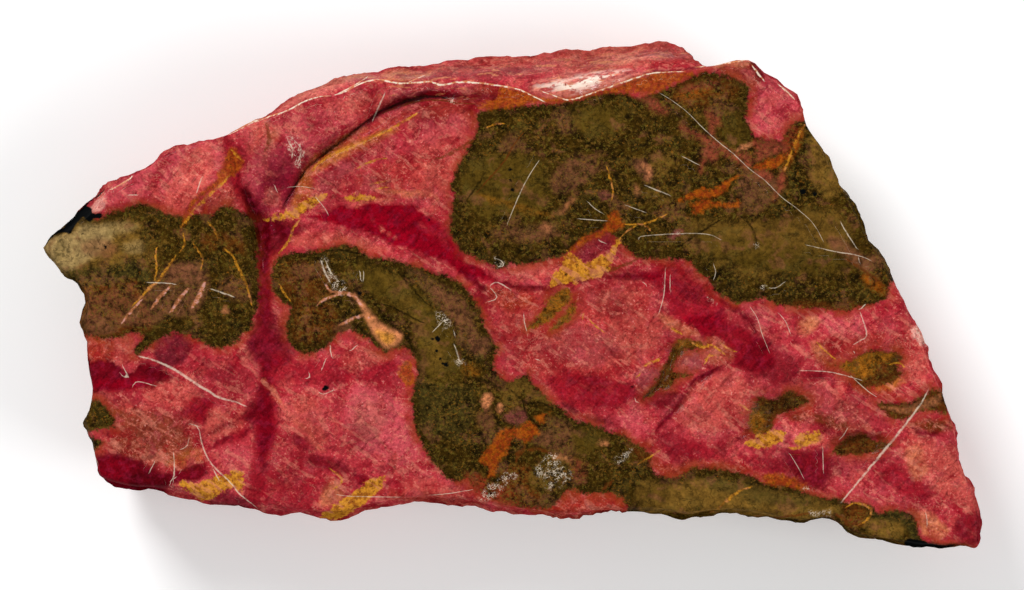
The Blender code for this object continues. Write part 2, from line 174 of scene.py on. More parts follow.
def depth_inside(flat, outline):
    """How deep each point lies inside a closed outline: below 0 outside, at least -REACH."""
    ring = curve(outline, closed=True, pieces=3)
    depth = np.full(len(flat), -REACH)
    near = nearby(flat, ring, REACH)
    if not len(near):
        return depth
    spot = flat[near]
    loop = np.vstack((ring, ring[:1]))
    distance = nearest(spot, loop)[0]
    inside = np.zeros(len(spot), bool)
    for (ax, ay), (bx, by) in zip(loop, loop[1:]):
        if ay != by:
            crossing = ax + (spot[:, 1] - ay) * (bx - ax) / (by - ay)
            inside ^= ((ay > spot[:, 1]) != (by > spot[:, 1])) & (spot[:, 0] < crossing)
    depth[near] = np.clip(np.where(inside, distance, -distance), -REACH, None)
    return depth


def depth_in_line(flat, route, half_width):
    """The same for a line of a given half width, which thins to END_WIDTH of it at its ends."""
    path = curve(route)
    depth = np.full(len(flat), -REACH)
    near = nearby(flat, path, REACH)
    if len(near):
        distance, _, along = nearest(flat[near], path)
        taper = END_WIDTH + (1 - END_WIDTH) * np.sin(math.pi * np.clip(along, 0, 1)) ** 0.6
        depth[near] = np.clip(half_width * taper - distance, -REACH, None)
    return depth


print("depth of (1, 2) in a square of 4 mm:", depth_inside(SAMPLE, "0,0 4,0 4,4 0,4"))

# %% [markdown]
# ## A finer mesh of the same stone
#
# The plain stone has flat triangles about two millimetres long.  Paint that lives on the points
# of a mesh needs far more of them, but only where it changes quickly.  So the long edges are
# halved in rounds: first everywhere, and in a last round only where a marking's border runs.
# The flat back is left out of this and filled again at the end, since nothing fine happens on
# the side that the stone lies on.

# %% Copy the plain stone and halve its long edges
FACE_STEP = 0.8
MARK_STEP = 0.42
SIDE_STEP = 1.1
BACK_STEP = 2.4
BACK_LEVEL = 0.02
SIDES_BEGIN = 9.0
FACE_TILT = 0.35
MERGE_GAP = 0.001
HALVING_ROUNDS = (3.2, 2.2, 1.5, 1.0)


def copied_stone():
    """The plain stone's mesh in millimetres, merged, without its flat back."""
    work = bmesh.new()
    work.from_mesh(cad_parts[STONE].data)
    for vert in work.verts:
        vert.co /= MM
    bmesh.ops.remove_doubles(work, verts=work.verts, dist=MERGE_GAP)
    back = [f for f in work.faces if max(v.co.z for v in f.verts) < BACK_LEVEL]
    bmesh.ops.delete(work, geom=back, context="FACES")
    bmesh.ops.triangulate(work, faces=work.faces)
    return work


def halve(work, edges):
    """Cut each of the edges in two, and keep the mesh made of triangles."""
    bmesh.ops.subdivide_edges(work, edges=edges, cuts=1, use_grid_fill=True)
    bmesh.ops.triangulate(work, faces=[f for f in work.faces if len(f.verts) > 3])
    work.normal_update()


def on_face(edge):
    """Whether an edge belongs to the painted face or the sloping strip beside it."""
    upward = max(v.normal.z for v in edge.verts)
    return upward > FACE_TILT and min(v.co.z for v in edge.verts) > SIDES_BEGIN


stone = copied_stone()
stone.normal_update()
for slack in HALVING_ROUNDS:
    halve(stone, [e for e in stone.edges
                  if e.calc_length() > slack * (FACE_STEP if on_face(e) else SIDE_STEP)])
print("evenly halved:", len(stone.faces), "triangles")
# %% [markdown]
# ## The markings
#
# All markings are drawn in millimetres on the face, seen from above.  There are three kinds.
# Oxide patches, gold, rust, black and flecked white are crisp areas: they are kept as distances
# from their edge.  Scratches, ridges, veins, seams and cracks are hair-thin lines.  Everything
# softer is a wash: a colour from a small palette that is laid on with a strength and a soft
# edge, as a painter lays a ground.

# %% The palette
PALETTE = {
    "rose": (176, 50, 58), "pink": (200, 78, 86), "salmon": (200, 86, 74), "pale": (224, 134, 112),
    "crimson": (140, 3, 24), "deep": (100, 2, 16), "wine": (58, 2, 6), "plum": (98, 22, 34),
    "mauve": (142, 66, 66), "brick": (150, 50, 30), "brownrose": (142, 64, 44), "peach": (214, 132, 86),
    "olive": (80, 60, 16), "darkolive": (56, 38, 6), "tan": (116, 84, 32), "beige": (150, 124, 78),
    "greygreen": (58, 50, 20), "rustbrown": (100, 48, 14), "mauvebrown": (116, 70, 46),
    "coal": (16, 10, 2), "gold": (206, 140, 38), "ochre": (160, 96, 24), "orange": (168, 82, 16),
    "rust": (142, 54, 16), "cream": (240, 222, 198), "blush": (228, 164, 150),
    "raspberry": (140, 26, 52), "moss": (104, 88, 30), "white": (252, 232, 214), "jet": (6, 8, 9),
}


def linear(name):
    """A palette colour as the linear light that a shader works with."""
    shares = np.array(PALETTE[name]) / 255
    return np.where(shares < 0.04045, shares / 12.92, ((shares + 0.055) / 1.055) ** 2.4)


print("palette:", len(PALETTE), "colours")

# %% Dark oxide patches
OXIDE = {
    "knob at the left end":
        "-52.3,10 -49.5,11.1 -46.5,11.4 -43.5,10.2 -41.5,9.9 -40.5,10.3 -38.5,10.2 -37.5,10.9 -36,11.2 "
        "-33.3,9.8 -32.8,8.5 -32.3,1 -32.5,-1 -33.3,-4.3 -34.5,-5 -35.2,-6 -37,-6.8 -39,-6.3 -41.3,-5.2 "
        "-43.5,-4.9 -45.5,-6 -47.8,-7.6 -48.3,-6.8 -47,-5.4 -48.5,-4.9 -51.5,-5.6 -56.5,-4.6 -63,-3 "
        "-63,7 -55.6,10.6 -53.5,9.6",
    "patch at the left edge":
        "-55.5,-12.8 -54.3,-13.2 -53,-13.3 -51.8,-14.2 -50.8,-15.2 -50.7,-16.6 -52,-17 -56,-17.4",
    "spot below it":
        "-56,-17.8 -54,-18 -52.3,-18.5 -52.5,-19.3 -53.5,-19.9 -55.5,-20",
    "boot":
        "-30.2,4.5 -29.5,5 -28,5.5 -24,5.7 -22.5,6.3 -20,6.2 -19,5.3 -17.5,4.8 -14,4.2 -10,2.8 -8.6,2.7 "
        "-6.5,1.2 -5.5,0.2 -4.7,-1 -3.8,-3 -3.5,-4.2 -2.3,-6 -2,-6.8 -2.6,-8.6 -1.2,-10.8 0,-10.9 "
        "1,-10.2 1.9,-10.2 2.7,-11.5 4,-12.8 7.3,-15.4 8.2,-15.9 10,-16.4 14,-18 17.5,-20.2 17.4,-21.5 "
        "18,-22.6 20,-23.1 21.5,-22.8 23,-21.9 27,-22.1 30.8,-23.2 31.3,-23.8 34.5,-24.1 39.5,-25.9 "
        "41.5,-25.7 42.3,-26.5 43.5,-26.3 45.5,-27 46.3,-27.6 48.5,-27.4 50.3,-27.8 51.3,-29 51.6,-30.3 "
        "52.3,-31.3 54.5,-31.9 57,-32.1 56,-34 15,-34 14.5,-27.5 13.2,-25.6 11.5,-25.2 9.5,-25.3 7,-24.8 "
        "5.4,-26.6 3.6,-27.2 2,-27.1 0,-26.9 -2,-26.2 -5,-24.6 -5.8,-23.3 -7.8,-23.7 -9.1,-22.6 "
        "-11.1,-20.1 -11.8,-18.8 -12.3,-17.3 -12.9,-14.5 -12.9,-13 -12.4,-10 -12.5,-8.8 -13,-7.5 "
        "-14.5,-6.5 -16,-7.3 -17.3,-6.8 -20,-4.6 -21.5,-4.7 -22.5,-5.3 -23.8,-6.7 -25,-7.2 -26.3,-7.4 "
        "-27.5,-7 -28.5,-6 -29,-4.5 -28.8,-3 -28.3,-1.8 -28.8,-1.2 -29.8,-0.5 -30.5,0.5 -30.9,2 -30.8,3",
    "great patch at the upper right":
        "-5.5,4.9 -6.3,5.3 -7,6 -8.2,8.5 -7.6,12.3 -8.1,13.6 -7.8,14.8 -5.8,18.5 -4.5,21.5 -4.3,23.4 "
        "2,24.2 5.5,24.3 7.5,24.6 10,25.4 12,25.7 14,25.6 16,25.1 19,26 21.2,27 22.9,28 25.3,28.3 "
        "27,27.9 29,27 29.7,26.5 30,25.8 29.7,23.5 29.8,22 30.6,20.4 31.5,20 33,19.8 34.3,19.9 35,21.3 "
        "36.5,22.2 39,21.8 42.5,17 47,9 50.5,2 48.3,1.8 47.8,1.2 47.2,-0.4 46.2,-1 43,-1.9 41.5,-2 "
        "34.3,-1.4 33.2,-1.2 32.5,-0.7 31.5,-0.5 30.5,-0.6 30,-1 28,-0.9 27,-0.5 25.8,0.3 24.8,1.8 "
        "24,2.6 23.3,3 23,3.6 22.5,4.1 21,4.4 18,4.5 15.8,4.8 14.8,5.4 12.5,7.9 11.5,8.2 9.5,7.2 8.5,6.9 "
        "7.2,5.4 4.5,4.5 1.5,3.9 -0.5,3.8 -2,3.3",
    "left leaf of the fan":
        "6.9,0.8 7.4,-0.4 5.6,-2.3 4,-3.7 1.8,-4.3 2.9,-3 3.7,-1.8 5,0.1",
    "right leaf of the fan":
        "7.8,-1 7.6,-2.3 6.4,-3.7 4.7,-4.6 5.3,-3.6 6.5,-2.4 7,-1.2",
    "pit in the middle":
        "21.5,-5.6 23.5,-5.8 24.2,-6.3 23.2,-7 21.5,-7.3 20.6,-8.5 20.3,-9.6 22.8,-10.1 21,-10.6 "
        "19.8,-11.8 18.3,-12.2 17,-13.1 16.4,-12.8 18,-11.2 20.5,-6.2",
    "pit to its right":
        "30.3,-14.5 31.3,-13 33,-13.3 35,-12.2 37,-13 37.3,-13.9 33.8,-15.3 33,-16 32.7,-17.3 31.5,-17.9 "
        "30,-17.2 29.8,-15.8",
    "rusty pit":
        "40.4,-8.7 41.5,-8.9 45,-7.2 48,-7.2 49.3,-7.8 48.8,-9 49.3,-10.5 45.5,-11.8 44,-11.5 43,-10.3",
    "grained patch at the right edge":
        "46,-14 47.5,-13.5 50,-13.8 52,-12.8 53,-11.9 54,-12 55.2,-12.6 55.2,-14.9 53,-14.8 51,-15 "
        "49.5,-16 48,-15.5",
    "dark pit":
        "41.5,-18.8 42.5,-18 44.5,-17.6 46,-18.5 48,-19 46.5,-19.9 43.5,-20.3 40.3,-20.2",
}
print("oxide patches:", ", ".join(OXIDE))

# %% Paler islands inside them
ISLANDS = (
    "16.2,25.3 17.2,25.3 18.3,24.8 19.3,24 19.6,23.2 18.8,23 17.8,23.4 16.3,24.7",
    "21.3,21.7 24.3,20.3 25.3,20.1 26,19.7 26.8,18.9 28.5,18 29.5,18 30.3,17.4 30.6,16.8 30.2,16.2 "
    "29.2,16.3 26.4,18 26,18.4 25.8,16.9 25,16.9 24.4,17.1 23.8,15.4 23.6,16.6 24.1,18.6 24,19.4 22,20.4 "
    "21.3,21.1",
    "24.4,23.3 25.2,23.5 26,22.5 26.4,21.6 25.7,21.7 25.5,20.5 24.9,20.5 25,21.7",
    "30.6,19.4 32,19.6 33.5,19.6 34.7,19.2 34.6,18.5 31,17.2 30.7,17.9 30.9,18.6",
    "30.9,16.2 32,15.9 32.9,15.2 32.4,14.5 31.5,14.8 30.7,15.4",
    "33.6,15.1 34.3,15.5 34.6,14.4 33.4,12 33,12.5 33.5,13.6",
)
PEACH_ISLAND = (
    "-20.3,0 -19.6,-0.4 -17.1,-3.4 -14.3,-4.7 -14.2,-5.6 -14.8,-6.3 -16,-6.9 -17,-6.1 -17.9,-4.9 "
    "-18.9,-2.6"
)
print("islands in them:", len(ISLANDS) + 1)

# %% [markdown]
# ### Gold, rust and black
#
# Iron left gold where it filled a crack and rust where it only stained the stone.  Black is
# bare manganese oxide.  Along the crevice under the ridge, though, the black lines are painted
# shade, and the gold on the crevice's lit edge is partly a painted highlight.  Areas are outlines,
# and lines are routes with a half width each.

# %% Gold areas
GOLD_AREAS = (
    "4.3,0.8 7,1.4 9.5,1.9 11.4,2.5 12.3,3.4 13,5 13.8,7.3 12.4,5.9 11.2,4.9 9.4,4.2 8.4,4.4 7.4,5.6 "
    "6.6,5.3 5.8,3.4",
    "-42.5,-23.7 -40,-23.8 -38.5,-23.2 -34.8,-22.2 -34.3,-23 -34.5,-24.9 -36,-24.6 -39.2,-26.3 "
    "-40.5,-25.6",
    "29.6,-18.6 32.6,-17.2 34,-17.2 34.6,-18 33.4,-18.9 32,-19.5 30.4,-19.5",
    "35.6,-18.9 36.6,-17.6 38,-17.2 39.4,-17.4 38.4,-18.6 37,-19.3",
    "-24.6,-28.4 -22.2,-26.3 -19.8,-24.6 -18.2,-23.4 -16.4,-23 -17,-24.6 -18.7,-26.3 -20.6,-28 "
    "-22.4,-28.8",
    "-31.8,9.5 -28.5,10.8 -26.6,12 -24.1,12.9 -24.2,12.1 -27.4,10 -29.3,9.5",
    "-21.5,12.3 -19.5,12.8 -17.5,12.4 -18,12 -20,11.9",
)
print("gold areas:", len(GOLD_AREAS))

# %% Gold veins: half width and route
GOLD_LINES = (
    (0.16, "24.4,-6.2 25.6,-6.6 27,-7.6"),
    (0.14, "24.2,-8.2 25.2,-7.6 26.4,-7.8"),
    (0.14, "26,-5.9 27.6,-7 28.4,-7.2"),
    (0.14, "8.9,-2.2 8.7,-3.2"),
    (0.16, "-45.3,6.2 -45.5,5 -45.3,3.5 -45.6,1.8"),
    (0.22, "-42.8,5.2 -45,2 -46.3,0.8 -48.6,-1.6"),
    (0.14, "-42,8 -41.8,6.5 -42.5,5.3"),
    (0.14, "-40.8,6.7 -40,5.5 -39.5,4.5 -39.8,3"),
    (0.16, "-38.9,9.4 -38,8.2 -37.6,7"),
    (0.2, "-36.9,6 -35.7,5 -35.2,4 -33.8,0.8 -33.2,-1.5"),
    (0.18, "-36,18.6 -34.6,17.1"),
    (0.24, "-42.4,8.4 -41.2,10 -39.6,11.8 -36.6,14.6 -35.8,15.6"),
    # The next two follow the lit lower edge of the crevice under the ridge: their gold is partly a vein
    # and partly a painted highlight.
    (0.36, "-26,15.5 -24.5,16.9 -22.5,18.1 -18,19.8"),
    (0.22, "-18.5,19.9 -16,20.9 -14,22 -12,23.3"),
    (0.18, "-20,16 -18,17 -16,17.4"),
    (0.16, "-18.3,14 -16,14.5"),
    (0.16, "-17.5,13.5 -16,13.7"),
    (0.19, "-29.9,5.2 -28.5,7 -28,8.5 -27,9.8"),
    (0.16, "-29.7,1.4 -29,0 -28.2,-0.9"),
    (0.22, "24.3,-28.5 26,-27.3 27.5,-25.8 29,-24.8 30.5,-24.3"),
    (0.14, "15.8,-21.5 17,-20.8 18.6,-19.7"),
    (0.17, "42,-27.2 43.5,-26.4 45.4,-27.2 45,-28.6 43.5,-29.4"),
    (0.14, "9.6,-3 10.4,-3.9 11.6,-4.8"),
    (0.16, "14,9 16.8,9.1 19.7,10.4"),
    (0.14, "15.6,8.8 14.5,8.2 13.7,7.4"),
    (0.22, "16.6,8.9 17.4,8.3"),
    (0.16, "11.8,16.5 12.6,13.5 12.5,12"),
    (0.16, "-3.6,21.2 -2.2,21.7 -1,21.8"),
    (0.24, "16.4,-9.1 18.8,-8"),
    (0.17, "15.5,-10.7 16.1,-9.9"),
    (0.23, "20,-4.1 21.6,-5.1"),
    (0.2, "22.6,-6 24,-6.6 25.4,-6.2"),
    (0.17, "24.2,-8.9 24.6,-8 25.2,-7.3"),
    (0.17, "28.5,-13.9 29.3,-14.2 30.1,-14.8"),
    (0.22, "34.6,-19.4 36,-19.4 37.6,-18.9"),
    (0.4, "38.2,-18.2 38.9,-18.5"),
    (0.17, "-23.6,-21.9 -21.7,-23.5 -23,-24.8"),
    (0.14, "38.4,-5.9 40.2,-7.6 41,-8.2"),
    (0.16, "47.6,-8.9 48.9,-8.6 49.8,-9.2"),
    (0.22, "37.2,21.8 36.4,20.6 34.4,15.6"),
)
print("gold veins:", len(GOLD_LINES))

# %% Rust
RUST_AREAS = (
    "2,-16 3.2,-17.2 3,-17.9 1.3,-18.8 0.2,-18.3 -0.5,-19.3 -0.9,-20.3 -2.2,-21.8 -2.5,-23 -3.2,-23.2 "
    "-3.3,-22 -4.3,-21.2 -4,-20.4 -1.5,-17.3 -0.3,-16.9 1,-16.7",
    "2.7,-15.5 4.5,-15 4,-15.6 3.8,-16.4 3.2,-16.2",
    "20.6,12 22.5,13 23.3,13.2 24,13.8 24.3,13.5 25.3,13.5 28,15 29,15.2 28,14.7 27.3,14 26.8,13 26,12.5 "
    "24,12.2 23,12.4 22,12.1",
    "22.4,11.6 23.5,11.8 24.2,12.2 26.5,11.7 28,11.9 28.6,12.3 28.7,11.3 27.5,11.1 25.5,11.1 24.5,10.9 "
    "23.5,10.3 22.4,10.3 22.8,10.9",
    "6.9,4.6 7,5.6 7.8,6.6 9,7.4 11,8.4 11.7,9.1 12.1,10 13,10.7 13.7,9.8 14,8.6 13,8.1 12,8 8.4,6.1",
    "-36,18.6 -34.2,17.2 -34.7,16 -36.2,14.7 -39.7,12.2 -41,10.7 -42.3,8.2 -41.6,10.9 -40.3,12.6 "
    "-38.8,13.9 -37.6,15.2",
    "31.3,-23.2 33,-22.6 36,-23.3 37.6,-24.7 35,-24.3 32.3,-24.1",
    "-1.3,26.5 4,25.1 7.5,24.9 5,24.5 3,24.5 0,23.9 -2,23.7 -4.5,23.8 -3.4,24.6 -1.9,25.2",
    "7.5,24.8 12.5,26.3 15,27.5 17,28 19,28.3 22.8,28.3 21.6,27.4 19,26.1 17,25.6 14,25.8 11,25.5",
    "-14.4,-9.1 -13.5,-8.2 -12.8,-9.5 -12.7,-11 -13.5,-11.8 -14.4,-10.5",
    "30.5,16 31.5,17 34.2,17.9 34.3,17 33.6,16.2 32.5,15.9",
)
RUST_LINES = (
    (0.14, "-17,23 -15,23.8 -12.4,24.6 -9.6,24.8 -7,24.4 -4.6,24.3"),
    (0.3, "-31.5,22 -31,20 -31.6,18.2"),
    (0.28, "-9.5,17.3 -7,18.5 -5,19.8"),
    (0.3, "9.5,2.4 11,2.8 14,3.8 16,4.7"),
    (0.34, "1.4,-18.9 1.3,-19.6 0.5,-20.4 0.3,-21.4"),
    (0.3, "1.6,-19.7 2.6,-19.6 4,-19.8 5,-20.3"),
    (0.22, "33,-28.4 38,-27.7"),
    (0.26, "11.2,-24.8 12.8,-23.5"),
    (0.22, "42,4.8 46,2.1 47.3,0.9"),
    (0.13, "1.5,20.9 0,19 -1.3,16.8 -4.9,12.8"),
    (0.22, "-10.2,17.2 -8,17.9 -6,18.8"),
    (0.34, "40.9,-27.8 42,-28.6 43,-29.8"),
)
print("rust:", len(RUST_AREAS), "areas and", len(RUST_LINES), "lines")

# %% Black: areas, dots (x, y, radius) and lines
BLACK_AREAS = (
    "-60.5,5.6 -59.3,7.5 -57.9,8.6 -55,11.5 -53.8,12.5 -52.1,13.5 -52.6,12.9 -54.4,11.6 -53.9,11.2 "
    "-53.5,10.6 -52.7,10.5 -52.3,10.7 -52.2,9.9 -53.3,9.8 -54,9.3 -55,10 -56.3,7.9 -57.3,8 -58.2,7.8",
    "-24.5,-12.1 -23.9,-11.4 -23.4,-11.7 -23.9,-12.3",
    "50.3,-31 54,-31.8 57,-32 56,-33 50,-33",
)
BLACK_DOTS = (
    (-9.7, -5.6, 0.36), (-10.4, -5.7, 0.22), (-9.8, -7, 0.24), (-9.2, -8.1, 0.22), (-8.5, -8.8, 0.3),
    (-8.9, -8.7, 0.22), (-0.5, 16, 0.25), (-0.3, 14.5, 0.25),
    (-0.2, 13.3, 0.28), (15.1, -11.6, 0.22), (-19.5, 0.3, 0.3), (-54.8, 7.8, 0.2),
    (-2.1, 4.1, 0.2), (6.6, 2.5, 0.2), (8.1, 3.7, 0.2), (11.7, 4.4, 0.18), (11.8, 3.4, 0.18),
    (36.8, 13.2, 0.4), (38.3, 12.9, 0.3), (-52, 6.2, 0.25), (-10.8, 9.6, 0.16),
)
BLACK_LINES = (
    # The first two lines follow the crevice under the ridge: their black is painted shade at the foot of
    # the step.
    (0.2, "-29.5,11 -26.9,15.2 -25.3,16.9 -18.2,22.5 -16.6,23.6"),
    (0.24, "-17.6,23.1 -15,24.2 -12.5,25 -10,25.3 -8,24.9"),
    (0.22, "-14.9,3.2 -11.2,-1"),
    (0.16, "-17,-1 -15,-1.7 -13,-2.8 -11,-3.7"),
    (0.3, "-17,-2.6 -13.7,-5.1 -12.8,-7"),
    (0.3, "-20.6,-3.6 -19.3,-4.3 -18.6,-5.2"),
    (0.18, "-24,5.6 -21.5,5.7 -18.7,5"),
    (0.2, "-0.6,-11.8 0.3,-12.7 1.2,-13.4 2,-13.8 3.5,-13.7 5.2,-14.6"),
    (0.2, "1.2,-13.3 1.4,-14.5 2,-15.5 3.6,-17"),
    (0.35, "-5,-10.6 -3.4,-11 -1.4,-12"),
    (0.17, "21,6 23,7.5 26.5,9.7"),
    (0.2, "28.6,10.2 29.5,9.5 30.3,8.5 30.8,7 31,6"),
    (0.28, "35.2,19.5 36,17 35.8,15"),
    (0.17, "-6,12 -4.4,14.2 -3.6,15.6"),
)
print("black:", len(BLACK_AREAS), "areas,", len(BLACK_DOTS), "dots and", len(BLACK_LINES), "lines")

# %% [markdown]
# ### White marks
#
# A knock turns the stone white, because it opens tiny cracks that scatter the light.  A blunt
# knock leaves a flecked spot, a sharp edge is bruised all along, and a hard grain drawn over
# the face leaves a scratch.  The pale lines on the sharp edges are also a painted highlight,
# where the edges catch the light.  Strokes are peach-coloured veins that look much the same.

# %% Flecked spots and short bruises
FLECKED = (
    "2.6,-22 3.6,-21.6 4.2,-20.4 5.4,-20.2 5.8,-21.4 7,-22.4 7,-23.6 5.8,-24.4 5.2,-23.4 4.6,-24.8 "
    "3.8,-24 4,-22.8 2.8,-23",
    "-4.6,-25.6 -2.4,-23.8 -0.6,-22.6 0.4,-22.9 -3,-25.8",
    "-28.8,19.9 -27.2,19.7 -26.6,17.8 -27.2,16.3 -28.2,17.4",
    "-24.6,4.4 -23.9,4.5 -22.6,2.2 -21.4,1.4 -21.2,0.4 -22.6,0.3",
    "-9.9,-2.2 -8.9,-2.4 -8,-3.6 -8.4,-4.2 -9.4,-3.6",
    "-7.4,-8.2 -6.4,-8.4 -6.3,-9 -7.2,-9",
    "-2.6,4.8 -1.6,4.6 -1.4,3.8 -2,3.6",
    "12.8,-21 14.6,-19.7 15,-20.1 13.4,-21.4",
    "37.8,-27.4 40.2,-27.5 40.2,-28 38,-28",
    "50.4,-4 51.8,-4.2 53,-6 52,-6.4 50.8,-5.4",
)
BRUISES = (
    (0.3, "-8.2,24.7 -7.3,24.9"),
    (0.22, "-44.3,-28.6 -43.4,-28.8"),
    (0.3, "31.5,0.8 31.9,1.1"),
    (0.24, "30.8,6.6 30.8,6.2"),
    (0.22, "19.9,7.4 21,8"),
    (0.22, "42.2,13.6 42.8,12.6"),
    (0.2, "41.9,14.6 42.2,13.9"),
    (0.2, "37,-24.5 38.2,-24.9"),
    (0.2, "24.8,-0.4 25.6,-1.2"),
    (0.2, "-54,11.9 -52.2,13 -50.6,13.5"),
)
print("flecked spots:", len(FLECKED), "and bruises:", len(BRUISES))

# %% Strokes, and ridges that are bruised and painted with a highlight
STROKES = (
    (0.26, "-23.9,1.5 -23.4,0.5 -22.6,0.3 -21.2,0.2 -20.1,-0.3 -19,-1.7"),
    (0.2, "-25,-1.4 -24.3,-0.7 -23.4,-0.3 -22,0.1"),
    (0.24, "-22.4,-4 -20.4,-3 -19,-2.6 -18.2,-3"),
    (0.2, "-49.9,-3.7 -48.9,-2.4 -47.2,-0.5"),
    (0.26, "-46.1,-1.9 -44.9,-0.2 -43.6,1.1"),
    (0.26, "-43.6,-2.2 -42.2,-0.2 -41.2,1"),
    (0.32, "-41,-1.8 -40.1,-0.4 -39.2,1.8"),
)
BRUISED_LIT_RIDGES = (
    # Pale lines along the sharp edges: partly bruises, partly a painted highlight where an edge catches
    # the light.
    (0.1, "-36.5,20.3 -33.5,21.7 -31,22.7 -28.8,23.4 -26.6,24.6 -24.6,25.2 -22.9,25.3"),
    (0.13, "-22.9,25.3 -21,26 -19.4,26.9 -17.3,27.4 -15.1,27 -13.6,26.9 -10.6,27.1 -9.1,26.7 -6.1,27.1 "
     "0,26.3 2.2,25.4 4.5,24.3"),
    (0.11, "3,26.1 5,25.4 7.1,24.8 10.1,25.7 16.8,28 19.4,28.3 22,28.4"),
    (0.09, "-22.9,25.3 -20.3,26.6 -18.4,27.9"),
    (0.09, "-13.6,26.9 -12.2,27.6 -11,28.4"),
    (0.09, "-59.8,5.8 -58.6,7.6 -55.8,10.2 -54.6,11.5 -53.4,12.5 -51.8,13.3"),
    (0.12, "-51.4,13.3 -50,14 -48.4,15"),
    (0.12, "23,28.9 30,29.9"),
    (0.13, "30.2,29.3 31.9,27.1"),
    (0.1, "22,30.6 20.6,30.9 18.4,31.2 15.6,31.2"),
    (0.14, "33.4,27 34.6,26 35.8,24.8"),
)
print("strokes:", len(STROKES), "and ridges:", len(BRUISED_LIT_RIDGES))

# %% Scratches of the lower left and of the right end: half width and route
LOW_SCRATCHES = (
    (0.17, "-48,-7.7 -46,-8.2 -43.2,-9.4 -40,-11.5 -38.7,-12.2 -37.9,-12.8 -36.5,-13.3 -35,-13.7 "
     "-33.7,-14.3"),
    (0.11, "-40.7,-16.4 -40,-17 -39.7,-18.5 -39.2,-20 -38.5,-21.3 -37.3,-22.6 -36,-23.8 -34.8,-25.3 "
     "-33.2,-26.6 -32.3,-27.5"),
    (0.09, "-38.2,-22 -37.4,-23.6"),
    (0.09, "-43.2,-19.9 -43.1,-22.5 -43.4,-23.6 -42.8,-23"),
    (0.06, "-42.5,-19.7 -41.5,-19.2 -41.2,-18"),
    (0.06, "-45.5,-21 -46.4,-22.8"),
    (0.07, "-54.3,-18.2 -52.7,-21.7"),
    (0.07, "-49.8,-8.8 -48.9,-10.6 -50,-10.1"),
    (0.07, "-48.5,-11.8 -47.8,-11 -45.3,-11.6"),
    (0.08, "-24.8,-12.3 -24.2,-12.6 -23.3,-12.3 -22.8,-12"),
    (0.09, "-23.3,-6.3 -23.2,-7.4 -23,-8.1"),
    (0.07, "-23.8,-8 -24.4,-9.6"),
    (0.07, "-26,-9.7 -25.9,-10.5 -26.4,-10.6"),
    (0.07, "-20.8,-7.2 -19.8,-6.3"),
    (0.06, "-22.8,-25.3 -20.5,-25.6 -14,-25.7"),
    (0.06, "-11,-25.5 -8,-25.2 -5,-24.7"),
    (0.17, "52.9,-11.6 50.8,-15.2 41.4,-26.7"),
    (0.09, "44.8,-1.1 44.2,-1.7 43.9,-1.8"),
    (0.09, "44,-2 44.9,-5 44,-5.8 43,-6.4"),
    (0.07, "43.2,-7 43.4,-7.5"),
    (0.07, "36.2,-9.6 40.3,-9.8 44.5,-10.9"),
    (0.06, "42.8,-10.2 44.8,-12 46.2,-13"),
    (0.07, "39.3,-19.3 39.4,-22.8"),
    (0.07, "42.5,-16.9 41.9,-17.9 41.3,-18.5"),
    (0.05, "35,-20 36,-21.6 37,-23.5"),
    (0.05, "30,-1.4 31,-3 31.6,-5 32.6,-7.5"),
)
print("low scratches:", len(LOW_SCRATCHES))

